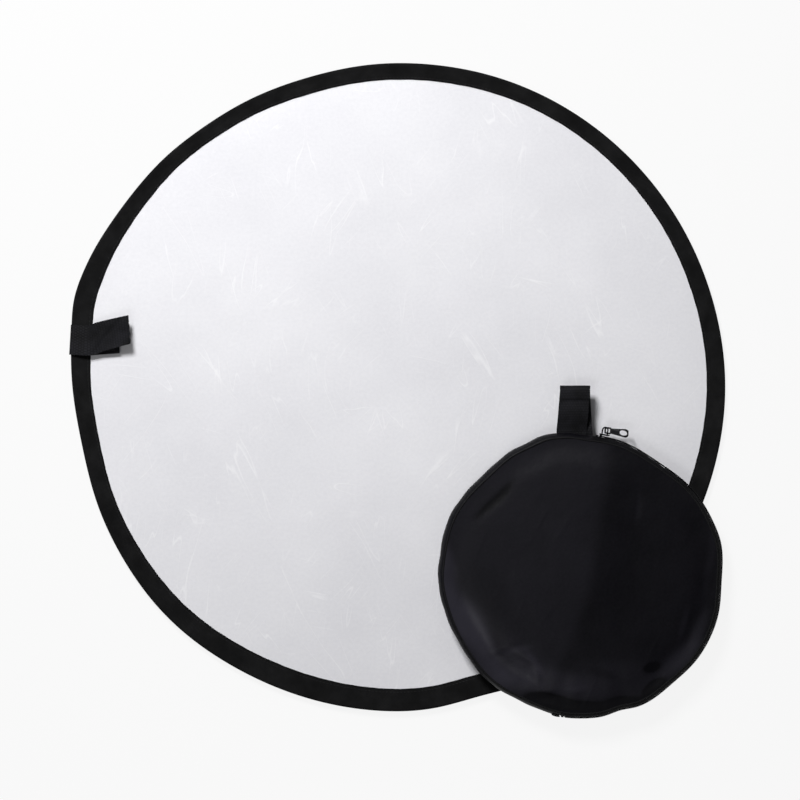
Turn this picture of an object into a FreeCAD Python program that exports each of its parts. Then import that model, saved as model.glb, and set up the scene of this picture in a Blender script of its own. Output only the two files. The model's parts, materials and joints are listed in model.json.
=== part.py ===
import FreeCAD, Part
import math
import os

from FreeCAD import Matrix, Placement, Rotation, Vector

# A pop-up reflector disc lying face up, with its zipped carry bag lying level on one side of its rim.
# Millimetres, +Z up. The origin is the centre of the disc's round part, on the surface it lies on.
# Angles are in degrees from +X, counter-clockwise seen from above.

# Disc outline: round, with one soft corner where the two ends of the spring strip meet.
disc_radius = 299.0
corner_azimuth = 160.7
corner_half_span = 38.3
flank_share = 1.2274
corner_share = 0.562

# Spring hoop: one flat strip on edge, its ends joined in a crimped sleeve.
strip_width = 5.5
strip_thickness = 1.0
strip_end_gap = 0.6
sleeve_wall = 0.3
sleeve_length = 44.0
sleeve_clearance = 0.05

# Rim binding and the two cloths that it holds.
binding_width = 17.0
binding_cloth = 0.5
binding_edge = 0.6
binding_flat = 2.0
binding_shoulder = 0.6
binding_nose_drop = 1.0
cloth_thickness = 0.3
cloth_inset = 3.4
fold_gap = 0.3
seam_inset_from_edge = 3.0
thread_width = 0.5
thread_height = 0.3

# Closing strap, sewn over the rim beside the corner, with two tails.
webbing_width = 27.5
webbing_thickness = 1.1
strap_azimuth_from_corner = 16.0
strap_rim_clearance = 0.1
strap_root_depth = 12.5
strap_skirt_bottom = 1.2
strap_pivot_depth = 14.8
strap_tail_gap = 1.2
strap_layer_gap = 0.2
upper_tail_length = 35.0
lower_tail_length = 27.0
upper_tail_turn = 15.7
lower_tail_turn = 7.3
upper_tail_lift = 9.0
patch_thickness = 0.6
patch_width = 22.0
patch_length = 15.0
patch_start = 10.5

# Carry bag: two round panels and a gusset, zipped round half of it.
bag_azimuth = -46.2
bag_centre_inset = 58.3
bag_radius = 129.0
bag_depth = 20.0
bag_cloth = 0.8
bag_seam_inset = 4.5
bag_seam_drop = 4.0
bag_rim_clearance = 0.3
edge_tape_width = 2.1
edge_tape_thickness = 0.6
mouth_top_azimuth = 85.6
mouth_bottom_azimuth = -99.0
mouth_clearance = 0.3

# Zip.
coil_height = 2.0
coil_thickness = 1.4
coil_gap = 0.9
slider_azimuth = 80.8
slider_length = 9.0
slider_height = 10.0
slider_plate = 1.1
slider_clearance = 0.5
slider_neck_length = 2.3
slider_neck_clearance = 0.1
stop_length = 2.4
stop_clearance = 0.8
stop_gap = 1.2
crown_radius = 2.45
crown_wire = 0.5
crown_rise = 3.7
pull_length = 20.0
pull_width = 7.6
pull_thickness = 1.4
pull_roll = 50.0
pull_bar = 0.7
pull_corner = 1.9
pull_tip = 1.7
pull_neck_overlap = 1.0
pull_side_clearance = 0.27
pull_end_clearance = 1.25
pull_hole_length = 5.6
pull_hole_width = 3.8
pull_hole_corner = 1.89
end_tab_length = 7.0
end_tab_height = 11.0
end_tab_thickness = 1.2

# Hanging loop of the bag.
loop_offset_x = -8.3
loop_length = 41.0
loop_height = 9.0
loop_taper_length = 13.0
loop_root_length = 2.5
loop_pivot_gap = 0.6
loop_start_gap = 1.7
loop_slit = 0.55
stitch_height = 0.25
stitch_margin = 2.5

# Sizes that follow from the ones above.
flank_radius = flank_share * disc_radius
corner_radius = corner_share * disc_radius
channel_half = strip_width / 2 + sleeve_wall + sleeve_clearance
rim_half = channel_half + binding_cloth
rim_thickness = 2 * rim_half
rim_middle = rim_half
channel_start = binding_edge
channel_depth = strip_thickness + 2 * (sleeve_wall + sleeve_clearance)
strip_start = channel_start + sleeve_clearance + sleeve_wall
half_gap = fold_gap / 2
strap_azimuth = corner_azimuth + strap_azimuth_from_corner
bag_base = rim_thickness + bag_rim_clearance
bag_low = bag_base + edge_tape_thickness
bag_high = bag_low + bag_depth
bag_middle = (bag_low + bag_high) / 2
panel_radius = bag_radius - bag_seam_inset
wall_inner = bag_radius - bag_cloth
coil_outer = bag_radius + coil_thickness
slider_inner_face = wall_inner - slider_clearance
slider_outer_face = coil_outer + slider_clearance
slider_top = slider_outer_face + slider_plate
pull_pivot_radius = slider_top + crown_rise
pull_eye_hole_width = 2 * (crown_radius * math.sin(math.radians(pull_roll)) + crown_wire + pull_side_clearance)
pull_eye_width = pull_eye_hole_width + 2 * pull_bar
pull_eye_length = crown_radius + crown_wire + pull_end_clearance + pull_bar
up = Vector(0, 0, 1)


def polar(radius, azimuth, centre=Vector(0, 0, 0), height=0.0):
    """The point at a radius and azimuth from a centre."""
    turn = math.radians(azimuth)
    return centre + Vector(radius * math.cos(turn), radius * math.sin(turn), height)


# The middle of the bag, on the surface that the disc lies on.
bag_spot = polar(disc_radius - bag_centre_inset, bag_azimuth)


def block(low, high):
    """A box between two corners."""
    size = Vector(*high) - Vector(*low)
    return Part.makeBox(size.x, size.y, size.z, Vector(*low))


def prism(points, bottom, height):
    """A flat outline of straight sides, extruded upwards."""
    corners = [Vector(x, y, bottom) for x, y in points]
    face = Part.Face(Part.makePolygon(corners + corners[:1]))
    return face.extrude(Vector(0, 0, height))


def revolved(section, start, end, centre=Vector(0, 0, 0)):
    """A section of (radius, height) corners, turned about a vertical line through the centre."""
    corners = [Vector(radius, 0, height) for radius, height in section]
    face = Part.Face(Part.makePolygon(corners + corners[:1]))
    face.rotate(Vector(0, 0, 0), up, start)
    face.translate(centre)
    return face.revolve(centre, up, end - start)


def joined(solids):
    """One solid from solids that share end faces."""
    whole = solids[0]
    if len(solids) > 1:
        whole = whole.fuse(solids[1:]).removeSplitter()
    return whole.Solids[0] if len(whole.Solids) == 1 else whole


def outline_arcs():
    """The disc's outline as (centre, radius, start, end) arcs, each tangent to the next."""
    spread = math.radians(corner_half_span)
    reach = flank_radius - disc_radius
    tighter = flank_radius - corner_radius
    corner_span = math.degrees(math.asin(reach / tighter * math.sin(spread)))
    before = polar(-reach, corner_azimuth - corner_half_span)
    after = polar(-reach, corner_azimuth + corner_half_span)
    tip = after + polar(tighter, corner_azimuth + corner_span)
    middle = Vector(0, 0, 0)
    return [
        (middle, disc_radius, -90.0, corner_azimuth - corner_half_span),
        (before, flank_radius, corner_azimuth - corner_half_span, corner_azimuth - corner_span),
        (tip, corner_radius, corner_azimuth - corner_span, corner_azimuth + corner_span),
        (after, flank_radius, corner_azimuth + corner_span, corner_azimuth + corner_half_span),
        (middle, disc_radius, corner_azimuth + corner_half_span, 270.0),
    ]


def arcs_between(start, end):
    """The outline's arcs between two azimuths of its normal."""
    for centre, radius, low, high in outline_arcs():
        first = max(low, start)
        last = min(high, end)
        if last - first > 1e-6:
            yield centre, radius, first, last


def rim_sweep(section, start, end):
    """A section of (inset, height) corners, swept along the disc's outline."""
    pieces = []
    for centre, radius, first, last in arcs_between(start, end):
        turned = [(radius - inset, height) for inset, height in section]
        pieces.append(revolved(turned, first, last, centre))
    return joined(pieces)


def cloth_half(inset, start, end, bottom):
    """Half of the disc's cloth, bounded by the outline less an inset and by the fold line."""
    edges = []
    for centre, radius, first, last in arcs_between(start, end):
        ends = [polar(radius - inset, azimuth, centre, bottom) for azimuth in (first, (first + last) / 2, last)]
        edges.append(Part.Arc(*ends).toShape())
    edges.append(Part.makeLine(edges[-1].Vertexes[-1].Point, edges[0].Vertexes[0].Point))
    return Part.Face(Part.Wire(edges)).extrude(Vector(0, 0, cloth_thickness))


def binding_section():
    """A folded tape: a channel round the hoop that tapers onto the two cloths."""
    edge = binding_width
    channel_end = channel_start + channel_depth
    upper = [
        (0.0, rim_half - binding_nose_drop),
        (binding_shoulder, rim_half),
        (binding_shoulder + binding_flat, rim_half),
        (edge, cloth_thickness + binding_cloth),
        (edge, cloth_thickness),
        (cloth_inset, cloth_thickness),
        (channel_end, channel_half),
        (channel_start, channel_half),
    ]
    lower = [(inset, -height) for inset, height in reversed(upper)]
    return [(inset, rim_middle + height) for inset, height in upper + lower]


def rectangle(low_inset, high_inset, half_height):
    return [
        (low_inset, rim_middle - half_height),
        (high_inset, rim_middle - half_height),
        (high_inset, rim_middle + half_height),
        (low_inset, rim_middle + half_height),
    ]


def binding_top(inset):
    """Height of the binding's sloping face above the middle of the rim."""
    start = binding_shoulder + binding_flat
    share = (inset - start) / (binding_width - start)
    return rim_half + share * (cloth_thickness + binding_cloth - rim_half)


def seam_thread(start, end):
    """The needle thread above and the bobbin thread below, laid on the binding's slopes."""
    outer = binding_width - seam_inset_from_edge
    inner = outer + thread_width
    above = [
        (outer, binding_top(outer)),
        (inner, binding_top(inner)),
        (inner, binding_top(inner) + thread_height),
        (outer, binding_top(outer) + thread_height),
    ]
    threads = []
    for side in (1, -1):
        section = [(inset, rim_middle + side * height) for inset, height in above]
        threads.append(rim_sweep(section, start, end))
    return Part.makeCompound(threads)


def disc_pieces():
    """The two halves of the disc, cut along the fold line through its centre."""
    trim = math.degrees(half_gap / disc_radius)
    strip = rectangle(strip_start, strip_start + strip_thickness, strip_width / 2)
    strip_end = math.degrees(strip_end_gap / 2 / corner_radius)
    halves = {"right": (-90.0 + trim, 90.0 - trim), "left": (90.0 + trim, 270.0 - trim)}
    pieces = {}
    for side, (start, end) in halves.items():
        pieces[f"rim_binding_{side}"] = rim_sweep(binding_section(), start, end)
        pieces[f"front_fabric_{side}"] = cloth_half(cloth_inset, start, end, rim_middle)
        pieces[f"back_fabric_{side}"] = cloth_half(cloth_inset, start, end, rim_middle - cloth_thickness)
        pieces[f"seam_thread_{side}"] = seam_thread(start, end)
    pieces["spring_hoop_right"] = rim_sweep(strip, *halves["right"])
    before = rim_sweep(strip, halves["left"][0], corner_azimuth - strip_end)
    after = rim_sweep(strip, corner_azimuth + strip_end, halves["left"][1])
    pieces["spring_hoop_left"] = Part.makeCompound([before, after])
    pieces["hoop_sleeve"] = hoop_sleeve()
    return pieces


def hoop_sleeve():
    """A flat metal sleeve crimped over both ends of the strip."""
    half_turn = math.degrees(sleeve_length / 2 / corner_radius)
    start = corner_azimuth - half_turn
    end = corner_azimuth + half_turn
    outside = rectangle(strip_start - sleeve_wall, strip_start + strip_thickness + sleeve_wall,
                        strip_width / 2 + sleeve_wall)
    bore = rectangle(strip_start, strip_start + strip_thickness, strip_width / 2)
    return rim_sweep(outside, start, end).cut(rim_sweep(bore, start, end)).Solids[0]


def strap_frame():
    """Placement of the strap: x runs inwards from the rim's edge, y along the rim, z up."""
    for centre, radius, first, last in arcs_between(strap_azimuth, strap_azimuth + 0.001):
        spot = polar(radius, strap_azimuth, centre)
    return Placement(spot, Rotation(up, strap_azimuth + 180.0))


def strap_tail(turn, length, bottom, lift):
    """A flat tail that starts at the bend, heads off at an angle and is lifted about the bend."""
    half = webbing_width / 2
    start = strap_tail_gap
    heading = Vector(math.cos(math.radians(turn)), math.sin(math.radians(turn)), 0)
    across = Vector(-heading.y, heading.x, 0)
    end = heading * (length + binding_width - strap_pivot_depth)
    side = across * (half * math.cos(math.radians(turn)))
    corners = [Vector(start, -half, 0), end - side, end + side, Vector(start, half, 0)]
    shape = prism([(corner.x, corner.y) for corner in corners], bottom, webbing_thickness)
    return lifted(shape, lift)


def lifted(shape, lift):
    """The shape turned up about the bend line and put at the strap's pivot."""
    shape.rotate(Vector(0, 0, 0), Vector(0, 1, 0), -lift)
    shape.translate(Vector(strap_pivot_depth, 0, strap_pivot_height()))
    return shape


def strap_pivot_height():
    """The bend line lies just above both layers of webbing, so that the tails can fold right back."""
    return rim_thickness + strap_rim_clearance + 2 * webbing_thickness + strap_layer_gap


def strap_patch(turn, bottom, lift):
    """A patch of hook or loop tape, sewn to one face of a tail."""
    half = patch_width / 2
    shape = block((patch_start, -half, bottom), (patch_start + patch_length, half, bottom + patch_thickness))
    shape.rotate(Vector(0, 0, 0), up, turn)
    return lifted(shape, lift)


def strap_pieces():
    """The webbing over the rim, its stitching, and the two tails with their patches."""
    low = rim_thickness + strap_rim_clearance
    high = low + 2 * webbing_thickness
    outer = strap_rim_clearance + webbing_thickness
    section = [
        (-outer, strap_skirt_bottom),
        (-strap_rim_clearance, strap_skirt_bottom),
        (-strap_rim_clearance, low),
        (strap_root_depth, low),
        (strap_root_depth, high),
        (0.0, high),
        (-outer, high - outer),
    ]
    half_turn = math.degrees(webbing_width / 2 / flank_radius)
    frame = strap_frame()
    half = webbing_width / 2 - stitch_margin
    outline = block((stitch_margin, -half, high),
                    (strap_root_depth - stitch_margin, half, high + stitch_height))
    inside = block(
        (stitch_margin + thread_width, thread_width - half, high),
        (strap_root_depth - stitch_margin - thread_width, half - thread_width, high + stitch_height),
    )
    lower_top = -webbing_thickness - strap_layer_gap
    placed = {
        "strap_stitching": outline.cut(inside).Solids[0],
        "strap_lower_tail": strap_tail(lower_tail_turn, lower_tail_length, lower_top - webbing_thickness, 0.0),
        "strap_loop_patch": strap_patch(lower_tail_turn, lower_top, 0.0),
        "strap_upper_tail": strap_tail(upper_tail_turn, upper_tail_length, -webbing_thickness, upper_tail_lift),
        "strap_hook_patch": strap_patch(upper_tail_turn, -webbing_thickness - patch_thickness, upper_tail_lift),
    }
    for shape in placed.values():
        shape.Placement = frame.multiply(shape.Placement)
    root = rim_sweep(section, strap_azimuth - half_turn, strap_azimuth + half_turn)
    return {"strap_root": root, **placed}


def wall_section(from_height, to_height):
    """The gusset's cloth between two heights: upright, with a slope to each panel's seam."""
    slope = bag_cloth / 2
    outer = [
        (panel_radius, bag_low),
        (bag_radius, bag_low + bag_seam_drop),
        (bag_radius, bag_high - bag_seam_drop),
        (panel_radius, bag_high),
    ]
    inner = [
        (panel_radius, bag_high - bag_cloth),
        (wall_inner, bag_high - bag_seam_drop - slope),
        (wall_inner, bag_low + bag_seam_drop + slope),
        (panel_radius, bag_low + bag_cloth),
    ]
    if to_height < bag_high:
        outer[2:] = [(bag_radius, to_height)]
        inner[:2] = [(wall_inner, to_height)]
    if from_height > bag_low:
        outer[:2] = [(bag_radius, from_height)]
        inner[-2:] = [(wall_inner, from_height)]
    return outer + inner


def panel(start, end, bottom):
    """A round panel, cut straight across between two azimuths."""
    middle = (start + end) / 2
    ends = [polar(panel_radius, azimuth, bag_spot, bottom) for azimuth in (start, middle, end)]
    edges = [Part.Arc(*ends).toShape(), Part.makeLine(ends[2], ends[0])]
    return Part.Face(Part.Wire(edges)).extrude(Vector(0, 0, bag_cloth))


def bag_band(low_radius, high_radius, low, high, start, end):
    """A plain ring segment about the bag's axis."""
    section = [(low_radius, low), (high_radius, low), (high_radius, high), (low_radius, high)]
    return revolved(section, start, end, bag_spot)


def on_bag(shape, azimuth):
    """A shape modelled with +X pointing out of the bag's edge, turned to its azimuth."""
    shape.Placement = Placement(bag_spot, Rotation(up, azimuth)).multiply(shape.Placement)
    return shape


def bag_shell_pieces():
    """The panels, gusset and edge tapes, with the mouth flap cut along the chord that it bends at."""
    trim = math.degrees(mouth_clearance / panel_radius)
    mouth = (mouth_bottom_azimuth + trim, mouth_top_azimuth - trim)
    rest = (mouth_top_azimuth + trim, mouth_bottom_azimuth + 360.0 - trim)
    tape_inner = panel_radius - edge_tape_width
    tape_top = bag_high + edge_tape_thickness
    back = Part.makeCylinder(panel_radius, bag_cloth, bag_spot + Vector(0, 0, bag_low))
    return {
        "bag_back_panel": back,
        "bag_front_panel": panel(*rest, bag_high - bag_cloth),
        "bag_mouth_flap": panel(*mouth, bag_high - bag_cloth),
        "bag_gusset": revolved(wall_section(bag_low, bag_high), *rest, bag_spot),
        "bag_edge_tape_back": bag_band(tape_inner, panel_radius, bag_base, bag_low, 0.0, 360.0),
        "bag_edge_tape_front": bag_band(tape_inner, panel_radius, bag_high, tape_top, *rest),
        "bag_edge_tape_flap": bag_band(tape_inner, panel_radius, bag_high, tape_top, *mouth),
    }


def zip_pieces():
    """The two tapes, each with its half of the coil, the stops, the slider and the pull."""
    trim = math.degrees(mouth_clearance / panel_radius)
    start = mouth_bottom_azimuth + trim
    end = mouth_top_azimuth - trim
    half_gap_height = coil_gap / 2
    back_edge = bag_middle - half_gap_height
    front_edge = bag_middle + half_gap_height
    stop_turn = math.degrees(stop_length / bag_radius)
    stop_start = slider_azimuth + math.degrees((slider_length / 2 + stop_clearance) / bag_radius)
    coil_end = stop_start - math.degrees(stop_clearance / 2 / bag_radius)
    gap_turn = math.degrees(stop_gap / bag_radius)
    coil_start = start + stop_turn + 2 * gap_turn
    pieces = {
        "zip_tape_back": revolved(wall_section(bag_low, back_edge), start, end, bag_spot),
        "zip_tape_front": revolved(wall_section(front_edge, bag_high), start, end, bag_spot),
        "zip_coil_back": bag_band(bag_radius, coil_outer, back_edge - coil_height, back_edge,
                                  coil_start, coil_end),
        "zip_coil_front": bag_band(bag_radius, coil_outer, front_edge, front_edge + coil_height,
                                   coil_start, coil_end),
        "zip_top_stop_back": bag_band(bag_radius, coil_outer, back_edge - coil_height, back_edge,
                                      stop_start, stop_start + stop_turn),
        "zip_top_stop_front": bag_band(bag_radius, coil_outer, front_edge, front_edge + coil_height,
                                       stop_start, stop_start + stop_turn),
        "zip_bottom_stop": bag_band(bag_radius, coil_outer, back_edge - coil_height, back_edge,
                                    start + gap_turn, start + gap_turn + stop_turn),
        "zip_slider_body": on_bag(slider_shape(), slider_azimuth),
        "zip_pull": on_bag(pull_shape(), slider_azimuth),
    }
    tab = block((bag_radius, -end_tab_length, bag_middle - end_tab_height / 2),
                (bag_radius + end_tab_thickness, 0.0, bag_middle + end_tab_height / 2))
    pieces["zip_end_tab"] = on_bag(tab, mouth_bottom_azimuth - trim)
    return pieces


def slider_shape():
    """Two plates either side of the tapes, a neck between them, and the crown that holds the pull."""
    half = slider_length / 2
    tall = slider_height / 2
    neck = coil_gap / 2 - slider_neck_clearance
    inner = block((slider_inner_face - slider_plate, -half, bag_middle - tall),
                  (slider_inner_face, half, bag_middle + tall))
    outer = block((slider_outer_face, -half, bag_middle - tall), (slider_top, half, bag_middle + tall))
    bridge = block((slider_inner_face, half - slider_neck_length, bag_middle - neck),
                   (slider_outer_face, half, bag_middle + neck))
    spot = Vector(pull_pivot_radius, 0, bag_middle)
    arch = Part.makeTorus(crown_radius, crown_wire, spot, up)
    arch = arch.common(block((pull_pivot_radius, -half, bag_middle - tall),
                             (pull_pivot_radius + half, half, bag_middle + tall)))
    legs = []
    for side in (1, -1):
        foot = Vector(slider_top - crown_wire / 2, side * crown_radius, bag_middle)
        legs.append(Part.makeCylinder(crown_wire, crown_rise + crown_wire / 2, foot, Vector(1, 0, 0)))
    return joined([outer, inner, bridge, arch, *legs])


def pull_frame():
    """Placement of the pull: x along it, y across it, z out of its broad face."""
    roll = math.radians(pull_roll)
    out = Vector(math.cos(roll), 0, math.sin(roll))
    along = Vector(0, -1, 0)
    across = out.cross(along)
    turn = Matrix(along.x, across.x, out.x, pull_pivot_radius, along.y, across.y, out.y, 0,
                  along.z, across.z, out.z, bag_middle, 0, 0, 0, 1)
    return Placement(turn)


def rounded_slab(low_x, high_x, width, thickness, corner):
    """A slab centred on y and z, with its upright edges rounded."""
    slab = block((low_x, -width / 2, -thickness / 2), (high_x, width / 2, thickness / 2))
    upright = [edge for edge in slab.Edges if abs(edge.tangentAt(edge.FirstParameter).z) > 0.99]
    return slab.makeFillet(corner, upright)


def pull_shape():
    """A flat pull: a narrow eye round the crown, and a wide blade with an oval hole."""
    eye_hole_end = pull_eye_length - pull_bar
    eye_end = pull_eye_length + pull_neck_overlap
    eye = rounded_slab(-pull_bar, eye_end, pull_eye_width, pull_thickness, pull_bar)
    blade = rounded_slab(pull_eye_length, pull_length, pull_width, pull_thickness, pull_corner)
    window = rounded_slab(pull_bar, eye_hole_end, pull_eye_hole_width, 2 * pull_thickness, pull_bar / 2)
    hole_end = pull_length - pull_tip
    oval = rounded_slab(hole_end - pull_hole_length, hole_end, pull_hole_width, 2 * pull_thickness,
                        pull_hole_corner)
    shape = joined([eye, blade]).cut(window).cut(oval).Solids[0]
    shape.Placement = pull_frame().multiply(shape.Placement)
    return shape


def loop_section():
    """The hanging loop seen from its side: pinched at its root, round at its end."""
    root = webbing_thickness
    tall = loop_height / 2
    outer = [(0.0, root), (loop_taper_length, tall), (loop_length - tall, tall)]
    inner = [(webbing_thickness, loop_slit / 2), (loop_taper_length, tall - webbing_thickness),
             (loop_length - tall, tall - webbing_thickness)]
    return outer, inner


def bag_loop_shape():
    """A closed loop of webbing, its eye running along X."""
    solids = []
    for points, reach in zip(loop_section(), (loop_length, loop_length - webbing_thickness)):
        above = [Vector(0, along, height) for along, height in points]
        below = [Vector(0, along, -height) for along, height in reversed(points)]
        nose = Part.Arc(above[-1], Vector(0, reach, 0), below[0]).toShape()
        sides = [Part.makeLine(a, b) for a, b in zip(above, above[1:])]
        sides += [nose] + [Part.makeLine(a, b) for a, b in zip(below, below[1:])]
        sides.append(Part.makeLine(below[-1], above[0]))
        solids.append(Part.Face(Part.Wire(sides)).extrude(Vector(webbing_width, 0, 0)))
    shape = solids[0].cut(solids[1]).Solids[0]
    start = loop_pivot_spot() + Vector(-webbing_width / 2, loop_start_gap, 0)
    shape.translate(start)
    return shape


def loop_pivot_spot():
    """The middle of the line that the loop bends at."""
    return bag_spot + Vector(loop_offset_x, bag_radius + loop_root_length + loop_pivot_gap, bag_middle)


def loop_pieces():
    """The loop, the doubled webbing that it is sewn on by, and its stitching."""
    spot = bag_spot + Vector(loop_offset_x, 0, 0)
    half = webbing_width / 2
    low = bag_middle - webbing_thickness
    high = bag_middle + webbing_thickness
    far = bag_radius + loop_root_length
    root = block((-half, wall_inner - loop_root_length, low), (half, far, high))
    root.translate(spot)
    root = root.cut(bag_band(0.0, bag_radius, bag_low, bag_high, 0.0, 360.0)).Solids[0]
    stitches = []
    for line in (1, 2):
        near = bag_radius + line * loop_root_length / 3
        stitch = block((stitch_margin - half, near, high),
                       (half - stitch_margin, near + thread_width, high + stitch_height))
        stitch.translate(spot)
        stitches.append(stitch)
    return {
        "bag_loop": bag_loop_shape(),
        "bag_loop_root": root,
        "bag_loop_stitching": Part.makeCompound(stitches),
    }


def build():
    """Every piece of the object, by name."""
    return {**disc_pieces(), **strap_pieces(), **bag_shell_pieces(), **zip_pieces(), **loop_pieces()}


os.makedirs("parts", exist_ok=True)
pieces = build()
for name, shape in pieces.items():
    if not shape.isValid():
        print("not valid:", name)
    shape.exportStep(f"parts/{name}.step")
print(len(pieces), "pieces")
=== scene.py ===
import json
import math

import bpy
import numpy as np
from mathutils import Matrix, Vector


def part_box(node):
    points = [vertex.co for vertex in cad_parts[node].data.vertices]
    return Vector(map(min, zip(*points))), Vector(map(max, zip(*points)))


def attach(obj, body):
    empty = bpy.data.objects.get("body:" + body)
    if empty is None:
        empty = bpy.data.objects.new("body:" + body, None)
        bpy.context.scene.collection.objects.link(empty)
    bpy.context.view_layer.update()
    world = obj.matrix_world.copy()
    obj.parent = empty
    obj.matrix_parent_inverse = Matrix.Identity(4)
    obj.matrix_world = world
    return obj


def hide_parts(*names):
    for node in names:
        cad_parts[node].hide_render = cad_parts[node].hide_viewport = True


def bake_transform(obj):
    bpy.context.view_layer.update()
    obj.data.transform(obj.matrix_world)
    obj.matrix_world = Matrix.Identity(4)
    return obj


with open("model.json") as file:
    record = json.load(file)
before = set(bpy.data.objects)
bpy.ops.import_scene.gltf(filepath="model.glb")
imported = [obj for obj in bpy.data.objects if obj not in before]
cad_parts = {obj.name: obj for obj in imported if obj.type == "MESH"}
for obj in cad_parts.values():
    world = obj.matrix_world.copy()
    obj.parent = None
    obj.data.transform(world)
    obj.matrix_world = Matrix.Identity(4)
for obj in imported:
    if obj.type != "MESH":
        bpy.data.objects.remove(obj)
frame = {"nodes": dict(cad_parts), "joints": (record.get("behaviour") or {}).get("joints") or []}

# A pop-up reflector disc lying face up, with its zipped carry bag on the rim. Metres, +Z up.
mm = 0.001
upright = Vector((0, 0, 1))
rightwards = Vector((1, 0, 0))
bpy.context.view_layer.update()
jointNamed = {joint["name"]: joint for joint in frame["joints"]}


# small tools for modelling

def deselectAll():
    if bpy.context.object and bpy.context.object.mode != "OBJECT":
        bpy.ops.object.mode_set(mode="OBJECT")
    bpy.ops.object.select_all(action="DESELECT")


def pick(piece):
    deselectAll()
    piece.select_set(True)
    bpy.context.view_layer.objects.active = piece


def named(name):
    piece = bpy.context.object
    piece.name = name
    piece.data.name = name
    return piece


def tidyMesh(piece):
    pick(piece)
    bpy.ops.object.mode_set(mode="EDIT")
    bpy.ops.mesh.select_all(action="SELECT")
    bpy.ops.mesh.remove_doubles(threshold=1e-6)
    bpy.ops.mesh.normals_make_consistent(inside=False)
    bpy.ops.object.mode_set(mode="OBJECT")


def applied(piece, kind, **settings):
    # adds a modifier and applies it
    pick(piece)
    modifier = piece.modifiers.new(kind.title(), kind)
    for key, value in settings.items():
        setattr(modifier, key, value)
    bpy.ops.object.modifier_apply(modifier=modifier.name)


def points(piece):
    flat = np.zeros(len(piece.data.vertices) * 3, np.float32)
    piece.data.vertices.foreach_get("co", flat)
    return flat.reshape(-1, 3).astype(float)


def movePoints(piece, places):
    piece.data.vertices.foreach_set("co", np.asarray(places, np.float32).ravel())
    piece.data.update()


def spun(name, chain, steps, start=0.0, span=360.0, closed=True, centre=(0.0, 0.0)):
    # a chain of (radius, height) points, spun about an upright line
    deselectAll()
    bpy.ops.mesh.primitive_circle_add(vertices=len(chain), radius=0.01)
    piece = named(name)
    turn = math.radians(start)
    for vertex, (radius, height) in zip(piece.data.vertices, chain):
        vertex.co = (centre[0] + radius * math.cos(turn), centre[1] + radius * math.sin(turn), height)
    last = {0, len(chain) - 1}
    for vertex in piece.data.vertices:
        vertex.select = False
    for edge in piece.data.edges:
        edge.select = not closed and set(edge.vertices) == last
    bpy.ops.object.mode_set(mode="EDIT")
    if not closed:
        bpy.ops.mesh.select_mode(type="EDGE")
        bpy.ops.mesh.delete(type="EDGE")
        bpy.ops.mesh.select_mode(type="VERT")
    bpy.ops.mesh.select_all(action="SELECT")
    bpy.ops.mesh.spin(steps=steps, angle=-math.radians(span), center=(*centre, 0), axis=(0, 0, 1))
    if closed and span < 360.0:
        bpy.ops.mesh.select_all(action="DESELECT")
        bpy.ops.mesh.select_non_manifold(extend=False)
        bpy.ops.mesh.fill_holes(sides=0)
    bpy.ops.object.mode_set(mode="OBJECT")
    tidyMesh(piece)
    return piece


def polar(place, centre=(0.0, 0.0)):
    # seen from above: azimuths in radians, and distances
    x, y = place[:, 0] - centre[0], place[:, 1] - centre[1]
    return np.arctan2(y, x), np.hypot(x, y)


def cornerVertices(mesh):
    corner = np.zeros(len(mesh.loops), np.int32)
    mesh.loops.foreach_get("vertex_index", corner)
    return corner


def writeUv(mesh, laid):
    layer = mesh.uv_layers.get("laid") or mesh.uv_layers.new(name="laid")
    layer.data.foreach_set("uv", laid.astype(np.float32).ravel())


def layUv(piece, laid=None):
    # cloth coordinates in metres, kept with the piece when it bends; x and y if none are given
    laid = points(piece)[:, :2] if laid is None else laid
    writeUv(piece.data, laid[cornerVertices(piece.data)])


def layRoundUv(piece, centre, radius):
    # distance round a ring, and across it, with no jump where the ring closes
    mesh = piece.data
    corner = cornerVertices(mesh)
    starts = np.zeros(len(mesh.polygons), np.int32)
    mesh.polygons.foreach_get("loop_start", starts)
    place = points(piece)
    turn, reach = polar(place, centre)
    angle = turn[corner]
    owner = np.repeat(np.arange(len(starts)), np.diff(np.append(starts, len(corner))))
    wide = (np.maximum.reduceat(angle, starts) - np.minimum.reduceat(angle, starts))[owner] > math.pi
    angle = np.where(wide & (angle < 0), angle + 2 * math.pi, angle)
    writeUv(mesh, np.stack([angle * radius, reach[corner] + place[corner, 2]], axis=1))


def stripLength(spots):
    return sum(math.dist(one, other) for one, other in zip(spots, spots[1:]))


def ribbon(name, stations, width, thickness, acrossSteps=12):
    # a strip of webbing through stations, each a middle and the way across
    deselectAll()
    along = len(stations) - 1
    bpy.ops.mesh.primitive_grid_add(x_subdivisions=along, y_subdivisions=acrossSteps, size=2)
    piece = named(name)
    middles = [middle for middle, _ in stations]
    lengths = [stripLength(middles[:index + 1]) for index in range(len(middles))]
    places, laid = [], []
    for x, y, _ in points(piece):
        index = round((x + 1) / 2 * along)
        middle, across = stations[index]
        places.append(middle + across.normalized() * (y * width / 2))
        laid.append((lengths[index], y * width / 2))
    layUv(piece, np.array(laid))
    movePoints(piece, [tuple(place) for place in places])
    applied(piece, "SOLIDIFY", thickness=thickness, offset=0.0)
    return piece


def copies(name, model, matrices):
    # one mesh that holds the model once for each matrix
    rest = points(model)
    applied(model, "ARRAY", count=len(matrices), use_relative_offset=False)
    turns = [np.array(matrix) for matrix in matrices]
    movePoints(model, np.concatenate([rest @ turn[:3, :3].T + turn[:3, 3] for turn in turns]))
    return named(name)


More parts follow.
